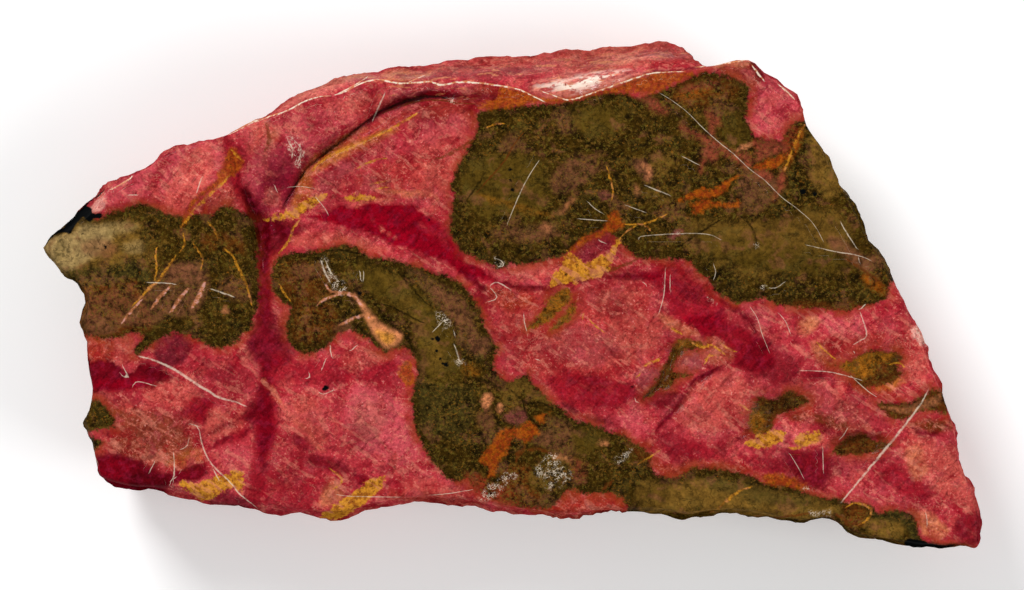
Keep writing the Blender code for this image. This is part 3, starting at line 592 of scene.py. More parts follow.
# %% Scratches of the great patch and of the upper left, and all of them together
HIGH_SCRATCHES = (
    (0.06, "18,26 20,24.8 22,23.3 24,21.3 26,19.5 28,17.9 30,16 32,14.5 34,12.5 36,11 38,9.2 39.3,7 "
     "39.6,6.2"),
    (0.06, "14,11.5 17,10.4"),
    (0.09, "16.5,14 20,12.6"),
    (0.06, "21.3,17.7 23.8,16.4"),
    (0.07, "3.4,17.3 2.2,15.5 1,13.3 -0.9,8.8"),
    (0.06, "9.3,12 10.3,11 11.6,10.2"),
    (0.07, "8,9.7 12,9.4"),
    (0.07, "15.9,6.8 16.5,7.5 24,7.8 26.6,6.9"),
    (0.06, "32.4,0.9 33.3,0.9 34,1.3 34.6,1.8"),
    (0.07, "37,6.4 41,5.5 43,5.2 44.5,4.8 45.6,4.3"),
    (0.09, "41.5,9.5 42,8.5 43.7,5.8"),
    (0.07, "43.8,5 44,4"),
    (0.07, "18.4,-2.6 19,-0.5 19.2,1 19.3,3.5"),
    (0.06, "19.9,2.6 19.9,0.5"),
    (0.06, "16.3,1.8 17,1.2"),
    (0.09, "10.8,7 11.3,6.7 11.9,6.5"),
    (0.09, "-3,1 -2.8,1.4 -2.1,1.6 -1.5,1.4 -0.3,0.6"),
    (0.07, "-3,1 -2.2,0 -2.2,-0.5 -3.3,-0.9"),
    (0.07, "1.3,-2.4 1.4,-3.5 1.7,-4.6"),
    (0.09, "2.7,-8.15 3.4,-8.25"),
    (0.07, "15.5,-13.1 15.5,-13.5 16,-13.6"),
    (0.07, "-2.5,4.7 -1.5,4.3 -1.3,3.7 -2,3.6"),
    (0.09, "-46.7,1.6 -43.8,1.5 -42.8,1.3"),
    (0.11, "-38.5,0.8 -35.3,-0.3"),
    (0.09, "-39.6,15 -40.3,12.9"),
    (0.09, "-49,12.7 -47.8,12.7"),
    (0.09, "-28.8,19.8 -28.1,18.6 -28.2,17.2"),
    (0.09, "-28,19.8 -27,18.5 -27.5,16.5"),
    (0.11, "-16.2,26 -18,22"),
    (0.07, "-30.4,14 -30,13"),
    (0.13, "-24.5,4.5 -24,3 -23.2,1.4"),
    (0.09, "-23.9,4.5 -23.5,3.4 -22.9,2.4"),
    (0.09, "-19.5,3.1 -19.4,1.8"),
    (0.07, "-19,3.1 -19.1,1.6"),
    (0.09, "-7.6,-4.6 -7.4,-5.3"),
    (0.11, "-7.5,-6.3 -6.8,-8.6"),
    (0.07, "-10.3,-4.7 -8.8,-3.2"),
    (0.05, "-28.8,13.7 -27,13.8 -25.2,13.5"),
    (0.07, "-25.2,12.5 -23.9,10.9 -23.5,10.1"),
    (0.06, "-41.3,-16.3 -39.7,-16.8"),
    (0.07, "35.2,-5 34.6,-3.4 33.6,-2.2"),
    (0.09, "52.4,-27.7 52.6,-28.9 52.5,-29.6"),
    (0.06, "25.4,3.9 25.7,2.9 25.4,1.9"),
)
SCRATCHES = LOW_SCRATCHES + HIGH_SCRATCHES
print("scratches:", len(SCRATCHES))

# %% [markdown]
# ## Washes: the soft colours under the markings
#
# Rose stone and dark oxide each get a ground colour, and washes are laid over it in order.
# A wash names a colour of the palette, its strength, the softness of its edge, and then either
# a closed outline or, with a half width, a route.  Two grounds are kept because the border
# between stone and oxide has to stay crisp, and only the shader draws it.  A few washes are
# painted light: shade in crevices, grooves, hollows and pits, and a highlight on the slope.

# %% Washes along the upper edge
UPPER_EDGE_WASHES = (
    # from left to right
    ("pink", 0.7, 1.2, "-53,12 -49,15 -44,18 -40,19.5 -37,19 -38,15 -43,12.5 -49,11.5"),
    ("salmon", 0.75, 1, "-44.5,12 -42.5,17 -39,19 -37.8,17.5 -39,13.5 -42,11"),
    ("brownrose", 0.6, 0.8, "-40,11 -37.5,13.5 -35.2,14 -34,11.5 -39,10.4"),
    ("blush", 0.8, 0.3, "-54.4,11 -53.6,12 -52,12.6 -52,11.2 -52.6,10.7 -53.8,10.7"),
    ("plum", 0.5, 0.6, "-52,11 -50,11.7 -47,11.8 -45,11.3 -51,10.6"),
    ("crimson", 0.5, 0.8, "-46.5,13.5 -44.5,14.6 -42.8,17 -44.3,16.8 -46.3,15"),
    ("salmon", 0.7, 1, "-34,21 -31,22 -29.8,19 -30.5,15.5 -32.5,16.5"),
    ("peach", 0.5, 0.7, 0.4, "-29.9,21.8 -30.8,19.4 -32.6,15.6"),
    ("plum", 0.55, 1.2, "-31,17 -25,19.5 -20,23.3 -22,20 -26.5,16.5 -28.5,12 -31.5,12.5"),
    ("raspberry", 0.7, 1.4, "-33.6,17 -31,19.6 -27.6,18.6 -28.4,14 -29.6,11 -32.6,10.8"),
    ("pale", 0.45, 0.6, "-31.6,11.7 -31,13.8 -29.8,12.8 -30,11"),
    ("pink", 0.6, 1, "-34.4,15.6 -33,17.4 -31.6,16 -32.4,13.6 -33.8,13.4"),
    ("pink", 0.5, 1.4, "-30,22 -22,24.4 -20,22.6 -25,18.8 -28.6,18.8"),
    ("salmon", 0.45, 1, "-24,24.6 -19,25.2 -14,26.3 -14,25.4 -19,23 -23,22.5"),
    ("pink", 0.7, 0.8, "-15,26.5 -6,26.7 -6,25.6 -10,25.9 -15,24.8"),
    ("brick", 0.8, 0.7, "-5,26.8 -1,26.2 3,25.2 1,24.2 -4,24.2 -7,25"),
    # the sloping strip above the ridge
    ("pale", 0.55, 0.6, "-27,25.2 -22,26.6 -18,28.4 -21,28.5 -27,26.2"),
    ("salmon", 0.8, 1.2, "-16,28 -8,29.5 14,31.5 22,31.5 23.5,30 16,29 -3,28"),
    ("peach", 0.6, 0.8, "-17,28.4 -13,28.9 -10,28.4 -12,27.6 -16,27.4"),
    ("pale", 0.4, 0.8, "-30,23.6 -26,26 -22,27.6 -21,26.8"),
    ("peach", 0.5, 0.7, "7,29.6 15,30.6 16,29.8 8,28.9"),
    ("plum", 0.6, 0.35, 0.18, "-12,29 -8,28.9 0,29.8 4,29.6"),
    ("plum", 0.6, 0.35, 0.16, "-2,28.2 1,28.6 9,30.7"),
    ("crimson", 0.45, 1, "-6,27.8 -2,28.7 4,29.2 5,28.7 -5,27.3"),
    ("crimson", 0.5, 0.5, "17,29.6 21,30.6 24,29.8 22,29.2 18,29"),
    # Painted highlight: a pale wash where the slope catches the light, under the white glare.
    ("pale", 0.7, 0.9, "2,26.2 5,27.6 9,28.2 17,28.3 7.1,25.1"),
    ("pale", 0.4, 0.6, "10,30.2 16,30.8 21,30.9 17,30 11,29.5"),
    # Painted shadow: a thin dark line under the small ledge on the slope.
    ("wine", 0.6, 0.25, 0.25, "14.5,27.5 16.5,28 19,28.4 22,28.8 24,28.8"),
    # the right end of the upper edge
    ("brownrose", 0.75, 0.6, "23,29.4 26,29.6 29,30.2 31,29.8 31.5,28 30,26.5 26,28.7"),
    ("peach", 0.7, 0.35, "25.5,29 28,29.6 30,29.8 29.4,29.2 27,28.9"),
    ("wine", 0.75, 0.5, "29.8,29.9 31.2,29.6 32,28.2 31,27.6 30.3,28.6"),
    ("pink", 0.7, 0.8, "31,27 33,27.6 35.5,25.5 36.6,23 35,21.5 31.5,20.6 30.3,23"),
)
print("washes, upper edge:", len(UPPER_EDGE_WASHES))

# %% Washes round the crevices
CREVICE_WASHES = (
    # the crevice under the ridge, dark with painted shade, and the great lobe below it
    ("wine", 0.85, 0.8, 0.45, "-29.5,11 -27,15.2 -25.5,16.9 -22,19.4 -17,23.4"),
    ("wine", 0.9, 0.7, 0.6, "-18.5,22.2 -17,23.4 -12.5,25.1 -10,25.5 -5,24.9"),
    ("deep", 0.7, 0.8, 0.8, "-8,25.4 -5,25 -2,25"),
    ("brick", 0.65, 0.9, "-19,21 -14,23.6 -9,24.6 -5,24.2 -7,22.4 -12,22.3 -16,21.3"),
    ("brick", 0.45, 1.4, "-20,15 -14,17.5 -9,17 -8.5,13.5 -14,12.5 -19,13"),
    ("mauve", 0.5, 1.2, "-25,14.5 -21,17.3 -17,19 -18.5,16.8 -24,13"),
    ("salmon", 0.5, 1.2, "-12,20 -7,22.5 -6,19 -9.5,12 -11,11 -12,15"),
    ("pink", 0.4, 1.2, "-16,21 -9,22.3 -6,22 -8,20 -14,19"),
    ("peach", 0.5, 0.5, 0.35, "-17,13.3 -14,12.8 -11.5,13 -9.5,12"),
    ("peach", 0.4, 0.5, 0.3, "-20,11.6 -18,12.1 -15.5,11.9"),
    # Partly a painted highlight: the gold and ochre on the lit lower edge of the crevice.
    ("ochre", 0.55, 0.5, 0.4, "-27.2,14.8 -25,17.4 -22.5,19.2 -19,21"),
    ("gold", 0.45, 0.7, 0.7, "-25.5,15.5 -22,18 -15,21"),
    ("ochre", 0.6, 0.6, "-28.5,11 -27.6,13.8 -26.2,15.5 -25.6,13.4 -26.6,11.6"),
    # the notch and the hollow in it, dark with painted shade, and the dark glassy lens
    # Painted shade: the crimson and wine washes down the notch, and the wine and deep washes in its
    # hollow near -32, 9, stand for the shadow in them.
    ("crimson", 0.8, 1.2, 1.2, "-36.6,20.4 -34.6,13 -33.2,10.6 -32.3,8 -31.4,-1 -31.8,-4 -33,-7"),
    ("wine", 0.95, 0.9, 0.9, "-34.4,13.4 -33,10.5 -32.2,7.5 -31.8,3"),
    ("deep", 0.8, 1, 1, "-31.9,4 -31.6,-4.4"),
    ("deep", 0.75, 1.2, "-33.4,-4.6 -30.4,-3.4 -28.6,-5.6 -28,-8 -30.6,-9.4 -33.4,-8.6"),
    ("wine", 0.9, 0.6, 0.8, "-32,8.9 -28,7.7"),
    ("deep", 0.8, 0.8, "-32,9.6 -27.5,9.4 -26.4,8.8 -28,6.8 -29.6,5.4 -31.4,5"),
    ("crimson", 1, 0.35, "-26,9.6 -24.8,10.3 -20,11.5 -14,11.3 -11.5,10.8 -7,5.5 -5.6,4.2 -4,3.2 "
     "-3.4,2.2 -6,2.2 -10,4.8 -15,6 -18.5,7.8"),
    ("salmon", 0.45, 0.25, 0.14, "-18.1,9.9 -16.4,8.2 -14.9,7"),
    ("pink", 0.35, 0.7, 0.5, "-11.8,9.2 -9.5,7.4 -8.2,5.8"),
    ("salmon", 0.7, 0.6, "-28,7.4 -25,8 -21,7.8 -15.5,5.4 -18.5,5.6 -22,6.7 -27.5,6"),
)
print("washes, crevices:", len(CREVICE_WASHES))

# %% Washes of the left half
LEFT_WASHES = (
    # under the knob
    ("salmon", 0.75, 0.7, "-52.6,-5.8 -49.5,-5.4 -48,-6.2 -48.6,-8.3 -50.5,-8.7 -52.3,-7.6"),
    ("brick", 0.85, 0.8, "-55.5,-5 -52,-5.2 -50.6,-7 -51.6,-8.6 -55.5,-8.8"),
    ("deep", 0.95, 0.3, "-55.5,-8.8 -52,-8.2 -50.2,-8.7 -49.4,-9.4 -48.6,-9.8 -47.4,-8.8 -46,-8.6 "
     "-44,-9.6 -43.2,-10.4 -44.5,-11.2 -46.5,-11.9 -52.5,-12.1 -55.5,-12.5"),
    ("crimson", 0.8, 0.5, "-53.5,-11 -50,-10.6 -46,-11 -48,-12 -53,-12.2"),
    ("plum", 0.85, 0.4, "-45.6,-5.6 -43.5,-5 -41.6,-5.4 -40.8,-6.6 -41.8,-8.6 -43.8,-9.2 -45.6,-8.2"),
    ("crimson", 0.5, 1, "-41,-6.5 -38,-7.4 -35,-7.2 -34.5,-9.8 -38,-10.8 -41,-9.5"),
    ("salmon", 0.6, 0.8, "-44.6,-11 -42.4,-11 -39.5,-12.6 -40.6,-14.4 -43.5,-14.5 -47,-12.6"),
    ("crimson", 0.85, 0.35, "-44.4,-15.6 -42.5,-14.8 -40.5,-13.1 -38.5,-12.9 -38.2,-14 -39,-15.6 "
     "-40.4,-16.4 -42.2,-16.2"),
    ("brownrose", 0.75, 1, "-51.5,-14 -47,-14.6 -43,-16 -40,-20 -42,-21.4 -46,-21.6 -51.5,-19.4 "
     "-50,-16.5"),
    ("rustbrown", 0.35, 1.6, "-52,-14 -44,-14.6 -40,-17 -42,-21.4 -50,-20.6"),
    ("ochre", 0.35, 0.8, "-42,-20 -40,-19.6 -39.4,-22 -42,-22.3 -44.5,-21.4"),
    ("salmon", 0.8, 0.6, "-38,-14 -36,-15.5 -34,-16.4 -36,-17.8 -38.5,-18.5 -39.5,-16.6"),
    ("crimson", 0.75, 0.35, 0.5, "-39.2,-20 -37,-18.7 -33.5,-17.3"),
    ("deep", 0.75, 1.2, "-33.6,-13.6 -31.4,-13.4 -30.4,-15 -30.2,-18 -31.5,-20.4 -33,-19.6 -33.2,-17 "
     "-34,-15.8"),
    ("deep", 0.95, 0.6, "-54.6,-20.6 -51.5,-20 -49,-20.5 -46,-21.8 -43.5,-22.3 -40,-21.3 -38.6,-22 "
     "-39.6,-23.4 -43.4,-23.8 -45,-25.8 -50,-25.6 -54.5,-23.8"),
    ("crimson", 0.5, 0.8, "-53,-21 -50,-20.8 -48,-22.5 -50.5,-23.6 -53,-22.8"),
    ("wine", 0.55, 0.5, "-49,-22.8 -46,-22.4 -43.5,-23 -45.5,-25 -48.5,-25"),
    ("plum", 0.8, 0.4, "-38.6,-26 -36.5,-24.9 -34.4,-25.7 -33.6,-27.4 -35,-28.5 -38,-28.2"),
    ("pink", 0.5, 1, "-36.5,-19.5 -34,-19 -33.6,-22 -36,-23 -38,-21.4"),
    ("crimson", 0.7, 1.2, 1.5, "-31.4,-4 -31.2,-14 -31.6,-19 -33.4,-27"),
    ("deep", 0.75, 1, 0.8, "-31.4,-6 -31.6,-10 -31.4,-14 -32,-21.6"),
    ("deep", 0.75, 0.6, 0.55, "-39.2,-17.6 -36,-16.6 -33.6,-15.4 -32,-13.4"),
    # the middle of the left half, left of the boot
    ("crimson", 0.6, 1.2, "-30,-7.6 -27,-8.6 -22,-8 -15,-8 -15.4,-10.6 -26,-11.6 -30,-10.5"),
    ("plum", 0.4, 0.9, "-33,-4 -29.4,-2.4 -29.6,-6.6 -31,-8.5 -33,-8"),
    ("salmon", 0.5, 0.9, "-20.5,-6 -15.8,-8 -19,-9.3 -22,-9"),
    ("peach", 0.6, 0.4, 0.22, "-31.8,-10.8 -30,-13 -28.7,-15 -27,-16.5 -25.5,-18.3 -24,-19.8"),
    ("salmon", 0.65, 1.2, "-29.5,-14 -26,-12.8 -24,-15 -23.8,-19 -26,-18.6 -28.3,-16.4"),
    ("pink", 0.85, 1.8, "-21,-12 -17,-12.2 -14.2,-13.5 -13.6,-17 -12,-20.5 -16,-21.4 -20.6,-19"),
    ("pale", 0.3, 1.4, "-20,-13.4 -17.4,-13.6 -16.4,-16.6 -18.4,-18.4 -20.4,-16.5"),
    ("deep", 0.75, 0.6, "-28.2,-17.6 -26.4,-18.2 -26,-19.8 -27.8,-19.4"),
    ("deep", 0.75, 0.7, "-26.4,-20.5 -23.5,-20.3 -20.6,-22.2 -22,-22.6 -25.5,-21.8"),
    ("crimson", 0.8, 0.4, "-20.8,-22.6 -18.6,-23 -17.6,-24 -19.6,-24"),
    ("crimson", 0.5, 1.2, "-31,-22 -27,-22.5 -25,-26 -28.5,-28 -32,-26"),
    ("peach", 0.6, 0.6, "-24.5,-27 -22.6,-26.4 -21.7,-25.2 -23,-23.4 -24.2,-24.6"),
    ("brick", 0.6, 0.9, "-18,-25 -9,-25 -4,-26.6 -7,-27.6 -15,-26.4"),
    ("salmon", 0.5, 0.8, "-14,-23.3 -10,-23.6 -6,-25 -9,-26 -14,-25.3"),
    ("brick", 0.8, 0.6, "3.4,-25 9.5,-25 14.4,-25.4 15,-28.5 3,-29"),
)
print("washes, left half:", len(LEFT_WASHES))

# %% Washes of the great rose field
FIELD_WASHES = (
    # the tongue between the boot and the great patch
    ("crimson", 0.8, 0.6, "-12,10.4 -9.4,9.8 -6.4,5.6 -7,4.4 -10,6.4"),
    ("crimson", 0.85, 0.5, 0.55, "-8.5,4 -6.5,3.7 -4.5,2.6 -2.5,1.8 -1.3,1.6"),
    ("deep", 0.95, 0.35, 0.5, "-6.8,3.4 -3.8,0.3"),
    ("deep", 0.95, 0.35, 0.42, "-1.4,1.5 0.5,0.8 3.5,0.9 4.3,0.7"),
    ("deep", 0.8, 0.4, 0.4, "4.3,0.7 7,1.7 12,2.3"),
    ("deep", 0.95, 0.5, 0.55, "12,2.2 13.5,2.5 17,2.2 19,2.5"),
    ("salmon", 0.6, 0.6, "0,3.8 3,4 6.4,5 5.4,2.4 3,2 0.4,2"),
    ("brick", 0.9, 1, "-3.4,1 2.4,-0.2 2.4,-1.6 0,-1.8 -2.8,-1"),
    ("wine", 0.75, 0.35, "-2.8,-4.3 -1,-4.8 -0.4,-5.4 -1,-5.4"),
    ("plum", 0.75, 0.6, "8,4.2 9.8,4.2 11.4,5.2 12.6,6.2 12.8,7.6 11,8 8,6.2 7.6,5"),
    # the field itself
    ("brick", 0.45, 3, "-2,-1 8,1 17,1 18,-7 10,-12 2,-10"),
    ("brick", 0.6, 0.9, 0.7, "6,3.2 10,2.4 14,4 19,3.6 23,2.4 25.6,-0.4 28,-1.6"),
    ("salmon", 0.75, 1, "9.2,-0.4 10.2,0.3 12,0.6 16.4,0 15,-1.3 11,-1.4"),
    ("mauve", 0.45, 1.4, "4,-5 10,-4 14,-5.5 11,-9 6,-8.4 3,-7"),
    ("salmon", 0.5, 1.4, "12,-3 17,-2.5 19,-5 16,-8 12.6,-7"),
    ("crimson", 0.75, 1.1, "4.4,-10 7,-9.6 15,-11.4 15.4,-13.4 8,-14.6 6,-13.6 4.6,-12"),
    ("plum", 0.8, 0.5, 0.45, "6.2,-14 8.2,-15"),
    ("plum", 0.7, 0.5, 0.5, "8.8,-15.3 10.4,-15.9 12.6,-16.3"),
    ("pink", 0.5, 1, "13,-15.5 16,-15 18.5,-16.5 18,-19 15,-17.6"),
    ("crimson", 0.75, 1.2, "15,4 18,4.2 22,3.8 26.5,-0.5 26.8,-3.4 23.4,-5 20,-2.6 18.6,0"),
    ("pink", 0.5, 0.8, "14.6,4.6 17,4.4 18.4,3.4 16,2.8 14.2,3.6"),
    ("peach", 0.55, 0.8, "18.4,-2.8 20,-3 23.4,-5 21.4,-5.2 19.4,-4.2"),
    ("crimson", 0.85, 1, "21.4,-3.2 25,-2.4 29,-4 32,-6 33,-9 29,-9.5"),
    ("deep", 0.75, 0.4, 0.42, "26,-0.6 30.2,-3.5 31.2,-4.8"),
    ("pink", 0.55, 0.6, "28.5,-1.4 30.6,-1 32.4,-2.4 31.8,-4 30,-3"),
    ("deep", 0.6, 0.5, 0.4, "32,-4 33.8,-5.6"),
    ("mauve", 0.75, 0.6, "15.4,-9.8 17.6,-9 19,-9.5 18.6,-11.4 17,-12.4 15.6,-11.8"),
    ("mauve", 0.85, 0.4, "20.4,-8.6 21.6,-7.4 23.4,-7.2 24.4,-8 23.4,-9.6 21.4,-9.8"),
    ("peach", 0.4, 0.8, "24.4,-5.8 26.4,-5.8 28,-7.4 26.6,-8.8 24.6,-8.6 24,-7.2"),
    ("deep", 0.7, 0.7, "16,-12.6 21.4,-12.2 22,-13.2 20,-14.4 17,-14.2"),
    # Painted shade: dark along the groove between two lobes.
    ("deep", 0.95, 0.35, 0.5, "26.5,-9.1 25,-9.8 23.3,-11 22.2,-12.8 18,-17.2"),
    ("pink", 0.45, 0.5, 0.3, "22.6,-11.4 18.4,-16"),
    ("salmon", 0.65, 1.3, "24,-11 27.5,-9.6 29.6,-11 29.4,-15 26,-17.6 22,-17 21,-15"),
    ("crimson", 0.6, 1, "17.6,-17.4 20.4,-17.6 23,-18.6 27,-19.4 27,-21.2 21,-20.8 18.4,-19.6"),
    ("brick", 0.75, 0.5, "18,-21 20.6,-21.6 23,-21.2 26.6,-21.4 30,-22.2 29,-22.8 25,-22.2 20.6,-23 "
     "18.4,-22.6"),
    ("wine", 0.6, 0.5, 0.3, "27,-19.6 28.6,-18.6 29.8,-17.4 30.2,-16.2"),
)
print("washes, rose field:", len(FIELD_WASHES))

# %% Washes of the right end, and all of them together
RIGHT_END_WASHES = (
    ("deep", 0.6, 1, 0.9, "35,-14.6 41,-17.2 44.6,-17"),
    ("rustbrown", 0.7, 0.8, 0.6, "49.6,-16.4 52.6,-17 55.6,-17"),
    ("deep", 0.6, 1.2, "30.6,-5.4 33.4,-6 36.4,-9 35.6,-11.6 32,-10.6 30.2,-8"),
    ("deep", 0.75, 0.4, "37.3,-9.9 39.3,-9.9 39.6,-10.8 38.2,-11"),
    ("peach", 0.7, 0.5, "36.6,-2.8 38.6,-2.6 38.8,-3.6 37.9,-4.6 36.8,-5.2 36.1,-4"),
    ("pink", 0.6, 0.9, "39.4,-2.6 43.6,-2.6 45.5,-4.6 42,-5.4 39.6,-4.4"),
    ("brick", 0.55, 1.2, "38.4,-5.6 48,-4.8 50.4,-8 48.6,-12.4 44,-12.4 41,-10.4 38.4,-8"),
    ("peach", 0.5, 0.6, "37.6,-6 39.4,-6.4 41.2,-8.6 39.8,-8.8 38,-7.4"),
    ("gold", 0.4, 0.5, "46.2,-12.2 48,-12 49.6,-11.2 48.4,-10.6 46.6,-11.2"),
    ("salmon", 0.55, 1.2, "49.5,-3 51.4,-4.4 53,-8 52,-11 49.6,-10"),
    ("blush", 0.75, 0.3, "50.7,-4.2 51.9,-4.4 52.8,-6.2 51.8,-6 50.8,-5.2"),
    ("crimson", 0.6, 0.5, "49,-4.6 50,-4.8 51.4,-6.6 50.6,-7.2 49.2,-6"),
    ("mauve", 0.45, 1.4, "37,-11.4 41,-12.4 45,-14.6 45,-17 41,-17 38,-14.4"),
    ("brick", 0.35, 1.6, "36,-11 41,-12.4 45,-15 44,-17.4 40,-17 37,-14.4"),
    ("rustbrown", 0.7, 0.5, "35,-15 40.6,-15.2 42.6,-16.2 41.8,-17.2 38.6,-16.2 35.4,-16"),
    ("pink", 0.7, 0.7, "31,-16.9 34,-16.6 37,-16.8 38.5,-18 37,-19.2 33.6,-19.3"),
    ("peach", 0.65, 0.5, "35.6,-18.4 37.6,-17.4 39.4,-17.8 39,-19 36.6,-19.2"),
    ("deep", 0.85, 1.1, "34.6,-19.8 37,-20 39.4,-19.6 40.4,-21.4 39.6,-24.6 37.6,-24.8 35.8,-23.2 "
     "34.6,-21.8"),
    ("crimson", 0.6, 0.8, "28,-20 31,-20.6 34,-20.8 35,-22.4 31,-22.2"),
    ("plum", 0.5, 0.8, "40,-20.4 43,-20.8 46.6,-20.2 44.6,-22.6 41,-23"),
    ("rustbrown", 0.85, 0.4, "51,-16.2 53,-15.8 55.6,-15.8 55.8,-17 54,-17.8 52.4,-17.4"),
    ("deep", 0.85, 0.4, "50.4,-16.8 52.4,-17.6 54,-17.4 53,-18.6 51.2,-18"),
    ("salmon", 0.75, 1.4, "50,-18 54,-19 56.6,-21 57.4,-24.4 55,-25.6 51.6,-23 49.5,-20"),
    ("peach", 0.5, 0.7, "50,-19.4 51.6,-19.2 52.6,-22.4 51.4,-23.4 50.4,-21.4"),
    ("crimson", 0.7, 0.8, "46,-22.6 49,-21.8 54.4,-24.8 52,-26 48,-24.6"),
    ("pink", 0.4, 0.6, "42.6,-25 46,-24.4 53,-27 49,-26.8 45,-26"),
    ("peach", 0.7, 0.5, "50.6,-27.6 52.6,-27.4 54.2,-29 55.4,-29.8 54.2,-31.2 52.4,-30.6 51.8,-29"),
    ("deep", 0.7, 0.5, "56.4,-28.4 59.4,-27.6 60,-31 57.6,-32 56.2,-30.6"),
    ("salmon", 0.5, 0.8, "56.6,-23 59.4,-27 57,-27.4 55.6,-25.6"),
)
ROSE_WASHES = UPPER_EDGE_WASHES + CREVICE_WASHES + LEFT_WASHES + FIELD_WASHES + RIGHT_END_WASHES
print("washes on the rose stone:", len(ROSE_WASHES))

# %% [markdown]
# ### Washes on the dark oxide
#
# Oxide isn't one brown.  It is mauve where rose stone still shines through, olive and beige
# where it is even, and nearly black in its gaps.

# %% Washes on the knob
KNOB_WASHES = (
    ("tan", 0.9, 1.6, "-61,3 -61,6 -54,9.4 -50,9.6 -46.6,8.8 -44.8,6.6 -46,4.4 -58.5,2"),
    ("beige", 0.9, 1, "-61,3 -61,6 -59,7.6 -56.2,7.8 -55,9 -52,9 -51,7.4 -54.4,4 -56.6,2.9 -58.5,2.2"),
    ("beige", 0.6, 0.7, "-52,9.4 -49.4,9.4 -48,8.4 -50,7.8 -52,8.2"),
    ("beige", 0.5, 0.8, "-49.4,6.6 -47,6.8 -46.8,5.4 -49,5"),
    ("mauvebrown", 0.6, 0.8, "-54.4,6.6 -51.6,7.2 -50.2,5.8 -52,4.8 -54.6,5.2"),
    ("greygreen", 0.8, 0.5, "-57,2.6 -51,3.9 -48.4,4.2 -46.4,3 -46.6,1.2 -49.5,2.1 -53,1.2 -55.4,0.2"),
    ("rustbrown", 0.85, 0.8, "-57,0 -51,1.6 -48,1.8 -47,0 -46,-3.4 -48.6,-4.8 -52,-5.4 -57,-4.8"),
    ("mauvebrown", 0.5, 1, "-55.5,-0.6 -51,0.8 -48.6,0.6 -48.2,-3 -52,-4.4 -55.5,-4"),
    ("mauvebrown", 0.6, 0.8, "-56,-2.6 -52.5,-2.8 -50.6,-4 -52,-5.2 -56,-4.8"),
    ("darkolive", 0.6, 1.2, "-48,10.8 -43,9.4 -34,9.8 -33,7 -36,7.6 -45.6,4.2 -47.6,8.4"),
    ("mauvebrown", 0.8, 0.7, "-44,3.8 -41.5,4.6 -39.6,3.4 -39.6,1.8 -42,1.6 -44,2.2"),
    ("rustbrown", 0.5, 0.6, "-39.6,7.6 -36.4,7.8 -34.2,6.6 -34.4,5 -37.4,5.8 -39.4,5.8"),
    ("mauvebrown", 0.6, 0.8, "-50,-4 -46,1.4 -41,4.6 -38.6,3 -40,-2 -44,-3"),
    ("peach", 0.8, 0.25, "-37.2,-1.4 -36.3,-1.5 -35.9,-2 -36.4,-2.3 -37,-2"),
    ("mauvebrown", 0.5, 0.8, "-36,2.4 -34,1.6 -34,-0.6 -36,-0.4 -37.4,1"),
    ("tan", 0.6, 0.4, "-55.6,-16.4 -51,-16.8 -52,-17.6 -55.6,-17.6"),
)
print("washes, knob:", len(KNOB_WASHES))

